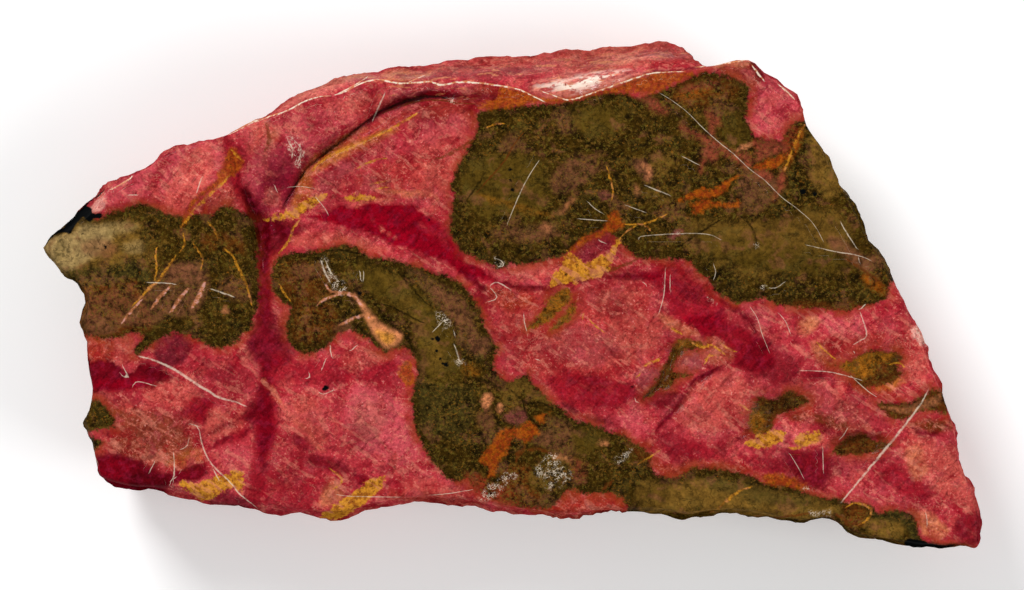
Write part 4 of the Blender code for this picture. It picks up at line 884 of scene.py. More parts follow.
# %% Washes on the boot
BOOT_WASHES = (
    ("rustbrown", 0.6, 1.2, "-30,3.6 -26,4.4 -22.6,2 -23,-1 -22,-5 -28,-6 -28,-1 -30,1"),
    ("mauvebrown", 0.6, 0.8, "-28,3.8 -25,4.2 -24,2.6 -26,2 -28,2.4"),
    ("coal", 0.75, 0.5, 0.35, "-19.6,1.2 -18,-0.4 -16.6,-2.4 -13.6,-4.4 -13.2,-6"),
    ("mauvebrown", 0.6, 0.8, "-22.6,-3.8 -20.6,-3 -20.4,-4.4 -22.4,-5"),
    ("olive", 0.8, 1.2, "-20,4.6 -13.6,2.2 -10,-1.4 -7.6,-6 -6.6,-10 -9,-13 -11.8,-10 -12.4,-5 -15,-1.6 "
     "-18.6,0.4 -21,2.6"),
    ("tan", 0.35, 1, "-17,2.6 -13,-0.4 -10,-5 -8.4,-9 -10.6,-9.6 -12,-4.6"),
    ("greygreen", 0.6, 1, "-12.4,-11 -8.6,-11.6 -5.6,-11.6 -4.6,-14 -6.6,-18 -10.8,-17.4 -12.2,-14"),
    ("mauvebrown", 0.7, 1, "-13.6,3.2 -10,1.8 -6.4,-0.6 -5,-4 -4.4,-8 -7,-6.4 -8,-3"),
    ("mauvebrown", 0.75, 0.6, "-5,-5.4 -3.4,-5.2 -2.8,-6.8 -3.6,-8 -5,-7.6"),
    ("coal", 0.6, 0.4, 0.5, "-4.6,-8 -3.2,-9 -2.2,-10.4 -1.4,-12"),
    ("ochre", 0.5, 0.6, "-6.6,-8.8 -5,-9 -4.2,-10 -6,-10.2"),
    ("tan", 0.7, 0.8, "-1.4,-11.6 1,-10.6 2.6,-11.6 5.6,-14.2 1,-12.8 0.6,-14.4 -1,-14"),
    ("peach", 0.75, 0.4, "-3.7,-12.6 -2.9,-12.6 -2.6,-13.8 -3.2,-14.7 -3.9,-14"),
    ("peach", 0.8, 0.3, "-1.9,-13.8 -1.3,-13.7 -1.1,-14.3 -1.7,-14.6"),
    ("mauve", 0.5, 0.5, "-0.8,-14.8 0.5,-14.3 1.3,-14.8 1.6,-15.8 0.8,-16.5 -0.5,-16.2 -1,-15.5"),
    ("mauvebrown", 0.6, 0.6, "-4.4,-15 -2.8,-14.9 -2.4,-16.6 -4,-17 -4.8,-16"),
    ("coal", 0.75, 0.5, "-1.2,-18.2 0.8,-18.2 0.4,-20 -0.6,-21.6 -1.2,-20.4"),
    ("coal", 0.5, 0.7, "-5.6,-17.2 -3,-17.4 -3.6,-19.6 -6,-20 -7,-18.4"),
    ("mauvebrown", 0.6, 0.7, "2.4,-17.8 4.6,-17.6 5,-19 3,-19.2"),
    ("mauvebrown", 0.5, 1, "4,-15.8 7,-16.2 7.6,-19.6 5,-20 4.2,-18"),
    ("peach", 0.6, 0.4, "5.2,-20 6,-20 7.3,-20.6 7,-21.1 5.3,-20.5"),
    ("olive", 0.7, 0.8, "7.6,-17 10,-16.9 12,-18 10,-20 7.6,-19.8"),
    ("peach", 0.5, 0.4, "11,-18.7 12,-18.5 12.2,-19.1 11.2,-19.3"),
    ("tan", 0.5, 0.8, "1.6,-22.6 3.4,-22 4.6,-20.8 5.4,-20.6 6.5,-21.6 7,-23.6 6,-25 4,-24.9 2.4,-24.2"),
    ("brick", 0.8, 0.8, "-6,-22.4 -4,-23 -2.4,-24 0,-24.6 2,-26.2 0,-27.6 -3,-26 -5.4,-24.2"),
    ("rustbrown", 0.8, 0.8, "-1.6,-22.4 0.4,-21.4 2,-22 1.6,-24 3.6,-25.6 1,-26.8 -1.6,-24.6"),
    ("brownrose", 0.45, 0.7, "7,-20.8 9.4,-21.2 9,-23.8 7.4,-23.6"),
    ("tan", 0.85, 0.5, "16,-23.6 20,-23.9 25,-23 31,-24 41,-26.6 40,-28 36,-28.6 28,-27.8 22,-28 "
     "16,-27.6"),
    ("greygreen", 0.6, 0.8, "24,-23.2 29,-23.6 38,-26.4 34,-26.6 28,-25.6"),
    ("darkolive", 0.5, 0.8, "14,-24 18,-24.2 20,-26 16,-27.4 14.6,-26"),
    ("tan", 0.85, 0.7, "44.6,-29 47.4,-28.4 49.6,-29.4 49,-31 46,-31"),
    ("greygreen", 0.85, 0.5, 0.7, "45.4,-28 47.6,-27.9 49.8,-28.6 51,-30.4 51,-32"),
    ("rustbrown", 0.8, 0.4, "41.6,-26.6 43.6,-26.5 45.3,-27.4 44.8,-28.8 43.4,-29.4 42,-28.4"),
)
print("washes, boot:", len(BOOT_WASHES))

# %% Washes on the great patch
PATCH_WASHES = (
    ("olive", 0.9, 1.2, "-6,17 -2,18.4 2,18 5,15 4.6,11.6 1,9.4 -3,9.6 -6.4,12"),
    ("ochre", 0.35, 0.6, 0.35, "-4.8,12.6 2,10.8 5,9.8"),
    ("mauvebrown", 0.65, 1, "-3,7.8 0,8.6 3,8.8 5.4,9.4 4.8,7.6 1,6.8"),
    ("mauvebrown", 0.7, 0.9, "5,15 7,17.4 9.4,17.6 10.6,15.4 8,13.6 5.6,12.6"),
    ("peach", 0.5, 0.4, "3.4,8.9 4.2,8.9 4.7,8.5 4,8 3.5,8.3"),
    ("mauve", 0.75, 0.4, "11,13.2 11.9,13.2 12.1,12.5 11.3,12.2"),
    ("peach", 0.35, 0.5, 0.3, "5,10.2 6.6,11 7.8,12.4"),
    ("mauvebrown", 0.5, 0.7, "-1.6,18.4 0.8,18.4 1,20.2 -0.6,20.4"),
    ("mauvebrown", 0.55, 0.7, "5.6,23.4 8.6,23 8.4,21 6.4,20.4 5.6,21.8"),
    ("olive", 0.9, 0.9, "7.6,23.6 11,24 14,23.6 13.6,20.6 10,19.8 8,20.8"),
    ("coal", 0.65, 0.8, "6.4,21 12,17.7 13,18.2 11.4,19.6 9,20.6"),
    ("tan", 0.6, 0.7, "17.6,17.2 21,18.3 19.6,15.4 18.2,14.3"),
    ("mauvebrown", 0.8, 0.6, "14.8,16.8 16.7,17.4 17.6,16.3 17.8,14.8 16.9,14.2"),
    ("peach", 0.6, 0.3, "16.6,16.6 17.4,16.2 17.5,15.2 16.9,14.8"),
    ("tan", 0.55, 0.6, "16.6,13 19.6,13.1 20,12.3 17.4,11.7"),
    ("peach", 0.4, 0.4, "15.1,14 15.7,13.8 16,12.6 15.4,12.4"),
    ("olive", 0.6, 1, "26.8,23 28.6,23.2 29.7,21.4 30,19.8 28.4,18.8 26.8,19.4"),
    ("rustbrown", 0.6, 1, "20.4,26.6 26,27.8 28.6,26.6 27,24.2 21,24"),
    ("brownrose", 0.7, 0.4, 0.4, "21.4,26.1 23.6,26.6 26,26.8"),
    ("orange", 0.5, 0.5, 0.4, "21,25.6 23,25.6 25,26.1"),
    ("peach", 0.85, 0.25, 0.26, "28.2,18.5 30.9,19.4"),
    ("coal", 0.5, 0.8, "35,19 36.6,20.6 37.6,19 37,15.4 38.6,13.4 37.6,12.2 35.2,13"),
    ("tan", 0.85, 0.4, "37.6,20.4 38.6,20.2 42,14.4 41.2,12.8 40.3,12.2 39.3,12.4 37.9,15.2 37.6,17"),
    ("mauvebrown", 0.65, 1, "28.6,15 31,15.4 33.4,14.6 33.4,12.4 31,10.4 29,11.6"),
    ("tan", 0.5, 1.2, "21,9 26,9.6 33,9.4 40,11 43,9 42,6 34,5 26,5 21.6,6"),
    ("olive", 0.6, 1.4, "22,8 38,5.6 43,4 40,2.6 30,3 24,4.6"),
    ("tan", 0.45, 0.6, "26,4.4 34,2.4 33,1.8 29,2.4 26,3.4"),
    ("mauvebrown", 0.7, 0.8, "40,7.5 41.5,7.3 44.5,5 46.4,5 47,4.5 46.5,3.4 45,3 43.5,3.8 40.5,5.9"),
    ("coal", 0.4, 0.9, "33,1 38,1 44,0.4 43,-1.2 36,-1.2"),
    ("orange", 0.5, 0.6, "44.4,2.6 46.4,2 47.6,0.8 47,0 44.4,1.6"),
    ("mauve", 0.8, 0.4, "19.8,7.3 20.6,8.4 21.6,8.1 21,7.5"),
    ("brick", 0.6, 0.6, "30.4,19.8 33.6,20 35.6,21.6 36.4,20 34.8,17.6 34,18.2 31,18.6"),
    ("orange", 0.5, 0.6, 0.6, "36.9,21.6 34.4,15.8"),
)
print("washes, great patch:", len(PATCH_WASHES))

# %% Washes in the pits, and all of them together
PIT_WASHES = (
    ("ochre", 0.95, 0.6, "9,1.6 8.6,-3 5,-5.4 0.8,-5 4,0.4"),
    ("rustbrown", 0.9, 1, "15,-3 53,-3 57,-22 26,-22 15,-20"),
    # Painted shadow: dark lines along the upper rims inside two pits.
    ("coal", 0.55, 0.8, 0.5, "31,-16.4 32,-14.2 35,-13.6 37,-13.6"),
    ("coal", 0.55, 0.8, 0.5, "46.6,-10.6 48.4,-9.6 48.6,-8.4 46,-8.4"),
    ("ochre", 0.7, 0.4, "19.4,-6 21.5,-5.4 24.4,-6.2 23,-6.6 21,-6.6 20,-8"),
    ("ochre", 0.8, 0.5, "29.6,-14.8 31.4,-15 32,-16.6 31.4,-17.8 30,-17.2"),
    ("ochre", 0.9, 0.4, "40.5,-8.6 46,-7.4 48.8,-7.6 46.4,-9 44.6,-10.8"),
    ("peach", 0.5, 0.4, "46.4,-14 50,-14.2 52.6,-13 54.4,-12.6 53.6,-14 50,-15"),
)
OXIDE_WASHES = KNOB_WASHES + BOOT_WASHES + PATCH_WASHES + PIT_WASHES
print("washes on the oxide:", len(OXIDE_WASHES))

# %% Where the oxide is smooth and even, so that the coarse grain has to fade
SMOOTH_OXIDE = (
    "-60.5,3 -59,7.6 -54,8.8 -48,7.6 -47,5.4 -58,2.6",
    "-19.6,4.4 -13.6,2 -9.4,-2 -7,-7 -7,-10 -11.8,-10 -12.2,-5 -15,-2 -19,0.4",
    "-6,16.6 -2,18 2,17.6 4.4,14.6 3,11 -2,10.4 -6.4,12",
    "7.8,23.4 11,23.8 13.6,23 13,20.8 9.6,20.4",
    "22,9 30,9.4 38,10.6 44,8.6 44,3 30,3 24.6,4.6",
    "37.7,20.3 40.2,17 42,14 40.4,12.4 38.8,13.8 37.8,17",
    "16,-23.8 20,-23.9 25,-23 41,-26.8 40,-28.4 16,-27.4",
    "7.6,-17 10,-16.9 12,-18 10,-20 7.6,-19.8",
    "44.6,-29 47.4,-28.4 49.6,-29.4 49,-31 46,-31",
    "26.8,23 28.6,23.2 29.7,21.4 30,19.8 28.4,18.8 26.8,19.4",
)
print("smooth areas:", len(SMOOTH_OXIDE))

# %% The golden foot of the peach island, the painted highlight on the slope, and where the surface is glassy
GOLDEN_FOOT = "-17.6,-4.6 -16.6,-4.6 -15.4,-4.8 -15,-5.6 -15.8,-6.3 -16.9,-5.8"
PAINTED_GLARE = (
    # Where a highlight is painted white on the slope.
    "2.6,26.4 5,27.2 7,27.5 8.8,28.2 12,28.5 15,28.2 8,25.6 6.6,25.6",
)
GLOSSY = (
    "1,26 5,28.2 10,28.8 16,28.6 20,28.8 16,27.4 9,25.6 4,25.2",
    "-20,28.3 0,29.4 20,31.6 22,30.4 0,27.6 -12,27 -20,27",
    "-16,26.6 -8,26.9 -4.4,26.4 -5,25.2 -16,25",
)
print("areas of glare:", len(PAINTED_GLARE), "and of gloss:", len(GLOSSY))

# %% [markdown]
# ## From drawings to distances
#
# `marks` turns the drawings into one number per point and per kind of marking: how deep that
# point lies inside the marking, in millimetres, below zero outside.  Before it looks a point
# up, it pushes the point a little sideways with noise, so that every border comes out ragged
# like a mineral's and not smooth like a pen's.  Low on the sides the push grows, so the patches
# wander on their way down instead of running straight through the stone.  Gold, black and white
# fade on the way.

# %% Ragged borders
BORDER_SEED = 20
WANDER_SEED = 40
RAGGED = 0.26
WANDER = 4.5
CRISP = ("oxide", "gold", "rust", "black", "island")
BORDER_BAND = 0.75


def pushed(flat, points, amount, size, seed):
    """Positions on the face, pushed sideways by noise of a given lump size."""
    shift = np.stack([rough_lumps(points, size, seed + 5 * axis) for axis in (0, 1)], axis=1)
    return flat + amount * shift


def bent(points):
    """Positions on the face with a ragged push, and a wide one low on the sides."""
    low_down = WANDER * step(12, 0, points[:, 2:])
    flat = pushed(points[:, :2], points, RAGGED, 1.7, BORDER_SEED)
    return pushed(flat, points, low_down, 11, WANDER_SEED)


print("the point (0, 0) is looked up at", bent(np.array([(0.0, 0.0, 17.0)]))[0].round(2))


# %% Depths of the crisp markings
def deepest(flat, outlines, lines=()):
    """Depth inside the union of outlines and of lines."""
    depth = np.full(len(flat), -REACH)
    for outline in outlines:
        depth = np.maximum(depth, depth_inside(flat, outline))
    for half_width, route in lines:
        depth = np.maximum(depth, depth_in_line(flat, route, half_width))
    return depth


def marks(points):
    """Every crisp marking as a depth in millimetres."""
    flat = bent(points)
    height = points[:, 2]
    black_fade = np.where(points[:, 0] > 0, step(14.5, 11, height), step(11, 5, height))
    found = {
        "oxide": deepest(flat, OXIDE.values()),
        "gold": deepest(flat, GOLD_AREAS) - 1.2 * step(15, 6, height),
        "rust": deepest(flat, RUST_AREAS),
        "black": deepest(flat, BLACK_AREAS) - 1.6 * black_fade,
        "island": deepest(flat, (*ISLANDS, PEACH_ISLAND)),
        "fleck": deepest(flat, FLECKED, BRUISES) - 2 * step(15, 8, height),
    }
    for x, y, radius in BLACK_DOTS:
        found["black"] = np.maximum(found["black"], radius - np.hypot(flat[:, 0] - x, flat[:, 1] - y))
    return found


# %% Halve once more where a border runs
middles = [(e, (e.verts[0].co + e.verts[1].co) / 2) for e in stone.edges
           if on_face(e) and e.calc_length() > MARK_STEP]
depths = marks(np.array([tuple(middle) for _, middle in middles]))
border = np.min([np.abs(depths[name]) for name in CRISP], axis=0)
halve(stone, [edge for (edge, _), gap in zip(middles, border) if gap < BORDER_BAND])
print("halved at the borders:", len(stone.faces), "triangles")


# %% Fill the flat back again
BACK_HALF_LENGTH = 62
BACK_HALF_WIDTH = 34
BACK_MARGIN = 0.6


def inside_loop(spots, loop):
    """Which spots lie inside a closed loop of straight sides."""
    (ax, ay), (bx, by) = loop[:, 0].T, loop[:, 1].T
    above = (ay > spots[:, 1:]) != (by > spots[:, 1:])
    crossing = ax + (spots[:, 1:] - ay) * (bx - ax) / np.where(by == ay, 1, by - ay)
    return (above & (spots[:, :1] < crossing)).sum(axis=1) % 2 == 1


def filled_back(work):
    """Close the open rim at the bottom with an even net of triangles that face down."""
    rim = [v for v in work.verts if any(e.is_boundary for e in v.link_edges)]
    order = {vert: index for index, vert in enumerate(rim)}
    sides = [[order[v] for v in e.verts] for e in work.edges if e.is_boundary]
    flat_rim = [Vector(v.co.xy) for v in rim]
    loop = np.array([[flat_rim[a], flat_rim[b]] for a, b in sides])
    xs, ys = np.meshgrid(np.arange(-BACK_HALF_LENGTH, BACK_HALF_LENGTH, BACK_STEP),
                         np.arange(-BACK_HALF_WIDTH, BACK_HALF_WIDTH, BACK_STEP))
    grid = np.stack((xs.ravel(), ys.ravel()), axis=1)
    ends = loop.mean(axis=1)
    gap = np.linalg.norm(grid[:, None] - ends[None], axis=2).min(axis=1)
    grid = grid[inside_loop(grid, loop) & (gap > BACK_STEP * BACK_MARGIN)]
    made = delaunay_2d_cdt(flat_rim + [Vector(p) for p in grid], sides, [], 0, 1e-6)
    corners, triangles, origins = made[0], made[2], made[3]
    verts = [rim[o[0]] if o and o[0] < len(rim) else work.verts.new((*c, 0))
             for c, o in zip(corners, origins)]
    centres = np.array([sum((corners[i] for i in t), Vector((0, 0))) / 3 for t in triangles])
    for triangle, kept in zip(triangles, inside_loop(centres, loop)):
        if kept:
            work.faces.new([verts[i] for i in reversed(triangle)])
    work.normal_update()


filled_back(stone)
loose = sum(len(e.link_faces) != 2 for e in stone.edges)
print("closed:", len(stone.faces), "triangles,", loose, "edges without two faces")

# %% [markdown]
# ## Fracture: what the break left behind
#
# The upper face is nearly smooth, as if water had worn it.  The sides are fresh breaks: coarse
# chips, and a sugary grain on top of them.  First the flat facets of the face are relaxed away
# by averaging each point with its neighbours.  The sides take each step of averaging and then a
# slightly larger step back, which smooths the facets and leaves the silhouette where it was.

# %% Turn the work mesh into arrays
mesh = bpy.data.meshes.new("stone skin")
stone.to_mesh(mesh)
stone.free()


def read(collection, key, width, kind=float):
    """One property of all the mesh's elements, as an array."""
    values = np.empty(len(collection) * width, kind)
    collection.foreach_get(key, values)
    return values.reshape(-1, width)


def averaged(values, pairs, count):
    """The mean of each point's neighbours, over the given pairs of points."""
    both = np.vstack((pairs, pairs[:, ::-1]))
    shares = np.bincount(both[:, 0], minlength=count)
    means = np.stack([np.bincount(both[:, 0], values[both[:, 1], axis], count) / np.maximum(shares, 1)
                      for axis in range(values.shape[1])], axis=1)
    means[shares == 0] = values[shares == 0]
    return means


points = read(mesh.vertices, "co", 3)
normals = read(mesh.vertex_normals, "vector", 3)
pairs = read(mesh.edges, "vertices", 2, np.int32)
print("work mesh:", len(points), "points and", len(pairs), "edges")

# %% Relax the facets of the face and of the sides
FACE_ROUNDS = 28
SIDE_ROUNDS = 8
FACE_SHARE = 0.5
SIDE_SHARES = (0.5, -0.53)
TOP_TILT = 0.72
FEW_NEIGHBOURS = 3
top = (normals[:, 2] > TOP_TILT) & (points[:, 2] > SIDES_BEGIN)
top &= np.bincount(pairs[top[pairs].all(axis=1)].ravel(), minlength=len(points)) > FEW_NEIGHBOURS
side = ~top & (points[:, 2] > BACK_LEVEL)
top_pairs = pairs[top[pairs].all(axis=1)]
for _ in range(FACE_ROUNDS):
    mean = averaged(points, top_pairs, len(points))
    points[top, 2] += FACE_SHARE * (mean - points)[top, 2]
for share in SIDE_SHARES * SIDE_ROUNDS:
    mean = averaged(points, pairs, len(points))
    points[side] += share * (mean - points)[side]
print("relaxed:", top.sum(), "points of the face and", side.sum(), "of the sides")

# %% [markdown]
# ## Fine relief of the face
#
# The face isn't a mirror.  It swells and dips by a tenth of a millimetre, open cracks run
# through it, and where oxide has replaced the stone the surface is a little lower and grainy.

# %% Open cracks: depth, half width, route
GROOVES = (
    (0.25, 0.3, "-27,15.2 -24,18 -20,21 -17,23.4 -12.5,25.1 -8,25.2 -4,24.8"),
    (0.2, 0.5, "-36.5,19.5 -34.6,16 -33.2,11 -32.2,7 -31.8,2 -31.6,-2"),
    (0.2, 0.3, "-31.6,-3 -32.4,-9 -31.4,-13 -31,-18 -33,-21"),
    (0.2, 0.25, "-8.5,4 -6.5,3.7 -3.5,2.2 -0.3,1 3.5,0.9 8,1.9 13.5,2.5 17,2.2"),
    (0.15, 0.3, "26.5,-9.1 23.3,-11 21.3,-13.8 18.2,-17"),
    (0.15, 0.25, "26,-0.6 28.8,-2.6 31.2,-4.8 33.4,-7"),
    (0.2, 0.3, "27,-19.3 30,-17.2 33,-15 38,-15.2 42.6,-16.6"),
    (0.2, 0.3, "46,-8 48,-9 50,-9"),
    (0.15, 0.3, "-45,-9.8 -49.4,-9.8 -54,-8.8"),
    (0.15, 0.25, "35,-20 38,-20.4 40.5,-22"),
)
print("open cracks:", len(GROOVES))

# %% Relief
SWELL = 0.14
RIPPLE = 0.05
OXIDE_DROP = 0.1
OXIDE_GRAIN = 0.07


def with_relief(points, normals, depths):
    """Lower and raise the face by noise, cracks and the grain of the oxide."""
    flat = bent(points)
    lift = SWELL * rough_lumps(points, 6, 71) + RIPPLE * rough_lumps(points, 1.6, 72)
    lift -= OXIDE_DROP * step(-0.3, 0.5, depths["oxide"])
    lift += OXIDE_GRAIN * step(0, 0.6, depths["oxide"]) * lumps(points, 0.9, 73)
    for depth, half_width, route in GROOVES:
        inside = depth_in_line(flat, route, half_width)
        lift -= depth * step(-half_width, half_width, inside)
    raised = points.copy()
    raised[:, 2] += lift * step(0.3, 0.7, normals[:, 2]) * step(9, 13, points[:, 2])
    return raised


depths = marks(points)
points = with_relief(points, normals, depths)
mesh.vertices.foreach_set("co", (points * MM).ravel())
mesh.update()
print("face levels in mm:", [round(float(np.percentile(points[top, 2], q)), 2) for q in (2, 50, 98)])

# %% [markdown]
# ## Painting the ground colours
#
# Now the washes are laid on, once over a ground of rose and once over a ground of dark olive.
# Both results are colours on the points.  The shader shows the second one inside the oxide's
# border and the first one outside it.

# %% Lay washes, and store an array on the mesh
def washed(flat, colour, washes):
    """The colour at each point after every wash has been laid over the ground colour in turn."""
    for name, strength, softness, *half_width, drawn in washes:
        depth = depth_in_line(flat, drawn, *half_width) if half_width else depth_inside(flat, drawn)
        cover = strength * step(-softness / 2, softness / 2, depth)
        colour = colour + (linear(name) - colour) * cover[:, None]
    return colour


def keep(name, kind, values):
    """Store an array as a point attribute of the mesh."""
    field = {"FLOAT": "value", "FLOAT_VECTOR": "vector", "FLOAT_COLOR": "color"}[kind]
    if kind == "FLOAT_COLOR":
        values = np.hstack((values, np.ones((len(values), 1))))
    layer = mesh.attributes.new(name, kind, "POINT")
    layer.data.foreach_set(field, np.ascontiguousarray(values, np.float32).ravel())


# %% Colours of both grounds
WASH_SEED = 60
flat = bent(points)
ragged = pushed(flat, points, 0.5, 3, WASH_SEED)
island_washes = [("brownrose", 0.9, 1, island) for island in ISLANDS]
island_washes += [("peach", 0.8, 0.6, PEACH_ISLAND), ("gold", 0.7, 0.8, GOLDEN_FOOT)]
rose_tint = washed(ragged, linear("rose"), ROSE_WASHES)
oxide_tint = washed(flat, washed(ragged, linear("darkolive"), OXIDE_WASHES), island_washes)
keep("rose_tint", "FLOAT_COLOR", rose_tint)
keep("oxide_tint", "FLOAT_COLOR", oxide_tint)
print("mean rose and oxide:", rose_tint.mean(axis=0).round(3), oxide_tint.mean(axis=0).round(3))

# %% Depths, and where the surface is smooth, glassy, broken or dusty
TILT_ROUNDS = 12
tilt = read(mesh.vertex_normals, "vector", 3)
for _ in range(TILT_ROUNDS):
    tilt = averaged(tilt, pairs, len(points))
broken = step(0.8, 0.3, tilt[:, 2]) * step(16.2, 14.8, points[:, 2])
even = np.maximum(step(-0.8, 1.2, deepest(ragged, SMOOTH_OXIDE)),
                  step(-0.3, 0.4, depth_inside(flat, PEACH_ISLAND)))
for name in ("oxide", "gold", "rust", "black", "fleck"):
    keep(name, "FLOAT", depths[name])
keep("smooth", "FLOAT", even)
keep("gloss", "FLOAT", step(-0.6, 0.8, deepest(flat, GLOSSY)))
keep("painted_glare", "FLOAT", deepest(flat, PAINTED_GLARE))
keep("broken", "FLOAT", broken * (points[:, 2] > BACK_LEVEL))
keep("dusty", "FLOAT", broken * step(13, 9, points[:, 2]))
print("attributes:", [a.name for a in mesh.attributes if not a.is_internal])

# %% [markdown]
# ## Hair-thin lines: scratches, veins and cracks
#
# A scratch is a tenth of a millimetre wide, thinner than the mesh can hold as a depth.  The
# trick is to store the distance with a sign: left of the line above zero, right of it below.
# Between two points the value runs straight through zero, and the shader finds the line there
# however thin it is.  Lines of one kind that lie close together go to different layers, so that
# their distances don't mix, and a second number switches the line off beyond its ends.

# %% Sort the lines into layers and store them
LINE_GAP = 2.6
LINE_REACH = 1.1
LINE_MASK = 0.95
THINNEST = 0.03
FAR_AWAY = 60.0


def layers_of(lines):
    """Share the lines out so that those in one layer keep apart."""
    layers = []
    for half_width, route in lines:
        path = curve(route)
        for layer in layers:
            if all(np.linalg.norm(path[:, None] - other[None], axis=2).min() > LINE_GAP
                   for _, other in layer):
                layer.append((half_width, path))
                break
        else:
            layers.append([(half_width, path)])
    return layers


def keep_lines(kind, layers):
    """Store, for each layer, the distance across its lines in half widths, and an end mask."""
    spots = points[:, :2]
    for number, layer in enumerate(layers):
        across = np.full(len(points), FAR_AWAY)
        near_line = np.zeros(len(points))
        for half_width, path in layer:
            close = nearby(spots, path, LINE_REACH)
            distance, side, along = nearest(spots[close], path)
            picked = distance < LINE_REACH
            thin = half_width * (0.5 + 0.5 * np.sin(math.pi * along))
            across[close[picked]] = (side * distance / np.maximum(thin, THINNEST))[picked]
            end = step(0, 0.05, np.minimum(along, 1 - along))
            near_line[close[picked]] = (end * (distance < LINE_MASK))[picked]
        near_line *= step(13, 15.4, points[:, 2])
        keep(f"{kind}_{number}", "FLOAT_VECTOR", np.stack((across, near_line, near_line * 0), axis=1))


HAIRS = {"scratch": SCRATCHES, "stroke": STROKES, "ridge_bruise_and_highlight": BRUISED_LIT_RIDGES, "vein": GOLD_LINES,
         "seam": RUST_LINES, "crack": BLACK_LINES}
layer_counts = {}
for kind, lines in HAIRS.items():
    layers = layers_of(lines)
    keep_lines(kind, layers)
    layer_counts[kind] = len(layers)
print("layers of lines:", layer_counts)

# %% [markdown]
# ## Chips and grain by Geometry Nodes
#
# The roughness of a break follows a rule: the same noise everywhere, scaled by how broken the
# surface is.  That is work for Geometry Nodes.  The tree moves each point along its normal, by
# coarse chips and by fine grain.  Its inputs name the sizes, in metres.

# %% Build the tree
TREE_INPUTS = (
    ("Chip Size", "NodeSocketFloat", 0.0042), ("Chip Depth", "NodeSocketFloat", 0.0011),
    ("Grain Size", "NodeSocketFloat", 0.0013), ("Grain Depth", "NodeSocketFloat", 0.0005),
    ("Seed", "NodeSocketFloat", 3.7), ("Material", "NodeSocketMaterial", None),
)


def breaking_tree():
    """A tree that roughens the parts of a mesh where the attribute `broken` is above zero."""
    tree = bpy.data.node_groups.new("Broken surface", "GeometryNodeTree")
    tree.interface.new_socket("Geometry", in_out="INPUT", socket_type="NodeSocketGeometry")
    tree.interface.new_socket("Geometry", in_out="OUTPUT", socket_type="NodeSocketGeometry")
    for name, kind, value in TREE_INPUTS:
        socket = tree.interface.new_socket(name, in_out="INPUT", socket_type=kind)
        if value is not None:
            socket.default_value = value
    given = tree.nodes.new("NodeGroupInput").outputs

    def node(kind, settings, values):
        """Make a node with its settings and inputs, and give its outputs."""
        made = tree.nodes.new(kind)
        for key, value in settings.items():
            setattr(made, key, value)
        usable = [s for s in made.inputs if s.enabled]
        for index, value in enumerate(values):
            if isinstance(value, bpy.types.NodeSocket):
                tree.links.new(value, usable[index])
            elif value is not None:
                usable[index].default_value = value
        return [s for s in made.outputs if s.enabled]

    def maths(operation, *values):
        """One maths node on values or sockets."""
        return node("ShaderNodeMath", {"operation": operation}, values)[0]

    place = node("GeometryNodeInputPosition", {}, ())[0]
    moved = node("ShaderNodeVectorMath", {"operation": "ADD"}, (place, (0.31, 0.17, 0.23)))[0]
    chips = node("ShaderNodeTexVoronoi", {"voronoi_dimensions": "4D"},
                 (moved, given["Seed"], maths("DIVIDE", 1, given["Chip Size"])))[0]
    grain = node("ShaderNodeTexNoise", {"noise_dimensions": "4D"},
                 (moved, given["Seed"], maths("DIVIDE", 1, given["Grain Size"]), 3.0))[0]
    chip_lift = maths("MULTIPLY", maths("SUBTRACT", 0.45, chips), given["Chip Depth"])
    grain_lift = maths("MULTIPLY", maths("SUBTRACT", grain, 0.5), given["Grain Depth"])
    lift = maths("ADD", chip_lift, maths("MULTIPLY", grain_lift, 2))
    share = node("GeometryNodeInputNamedAttribute", {"data_type": "FLOAT"}, ("broken",))[0]
    normal = node("GeometryNodeInputNormal", {}, ())[0]
    shift = node("ShaderNodeVectorMath", {"operation": "SCALE"},
                 (normal, maths("MULTIPLY", lift, share)))[0]
    roughened = node("GeometryNodeSetPosition", {}, (given["Geometry"], None, None, shift))[0]
    real = node("GeometryNodeRealizeInstances", {}, (roughened,))[0]
    covered = node("GeometryNodeSetMaterial", {}, (real, None, given["Material"]))[0]
    tree.links.new(covered, tree.nodes.new("NodeGroupOutput").inputs["Geometry"])
    return tree


print("named sizes of the tree:", [name for name, kind, _ in TREE_INPUTS if kind == "NodeSocketFloat"])

# %% [markdown]
# ## The finish: one stone, two minerals
#
# One material covers the whole stone, because rose stone and oxide pass into each other.  Its
# formula is long, so a small class lets the sockets of shader nodes be added and multiplied
# like numbers, and each rule of the stone becomes a line that can be read.

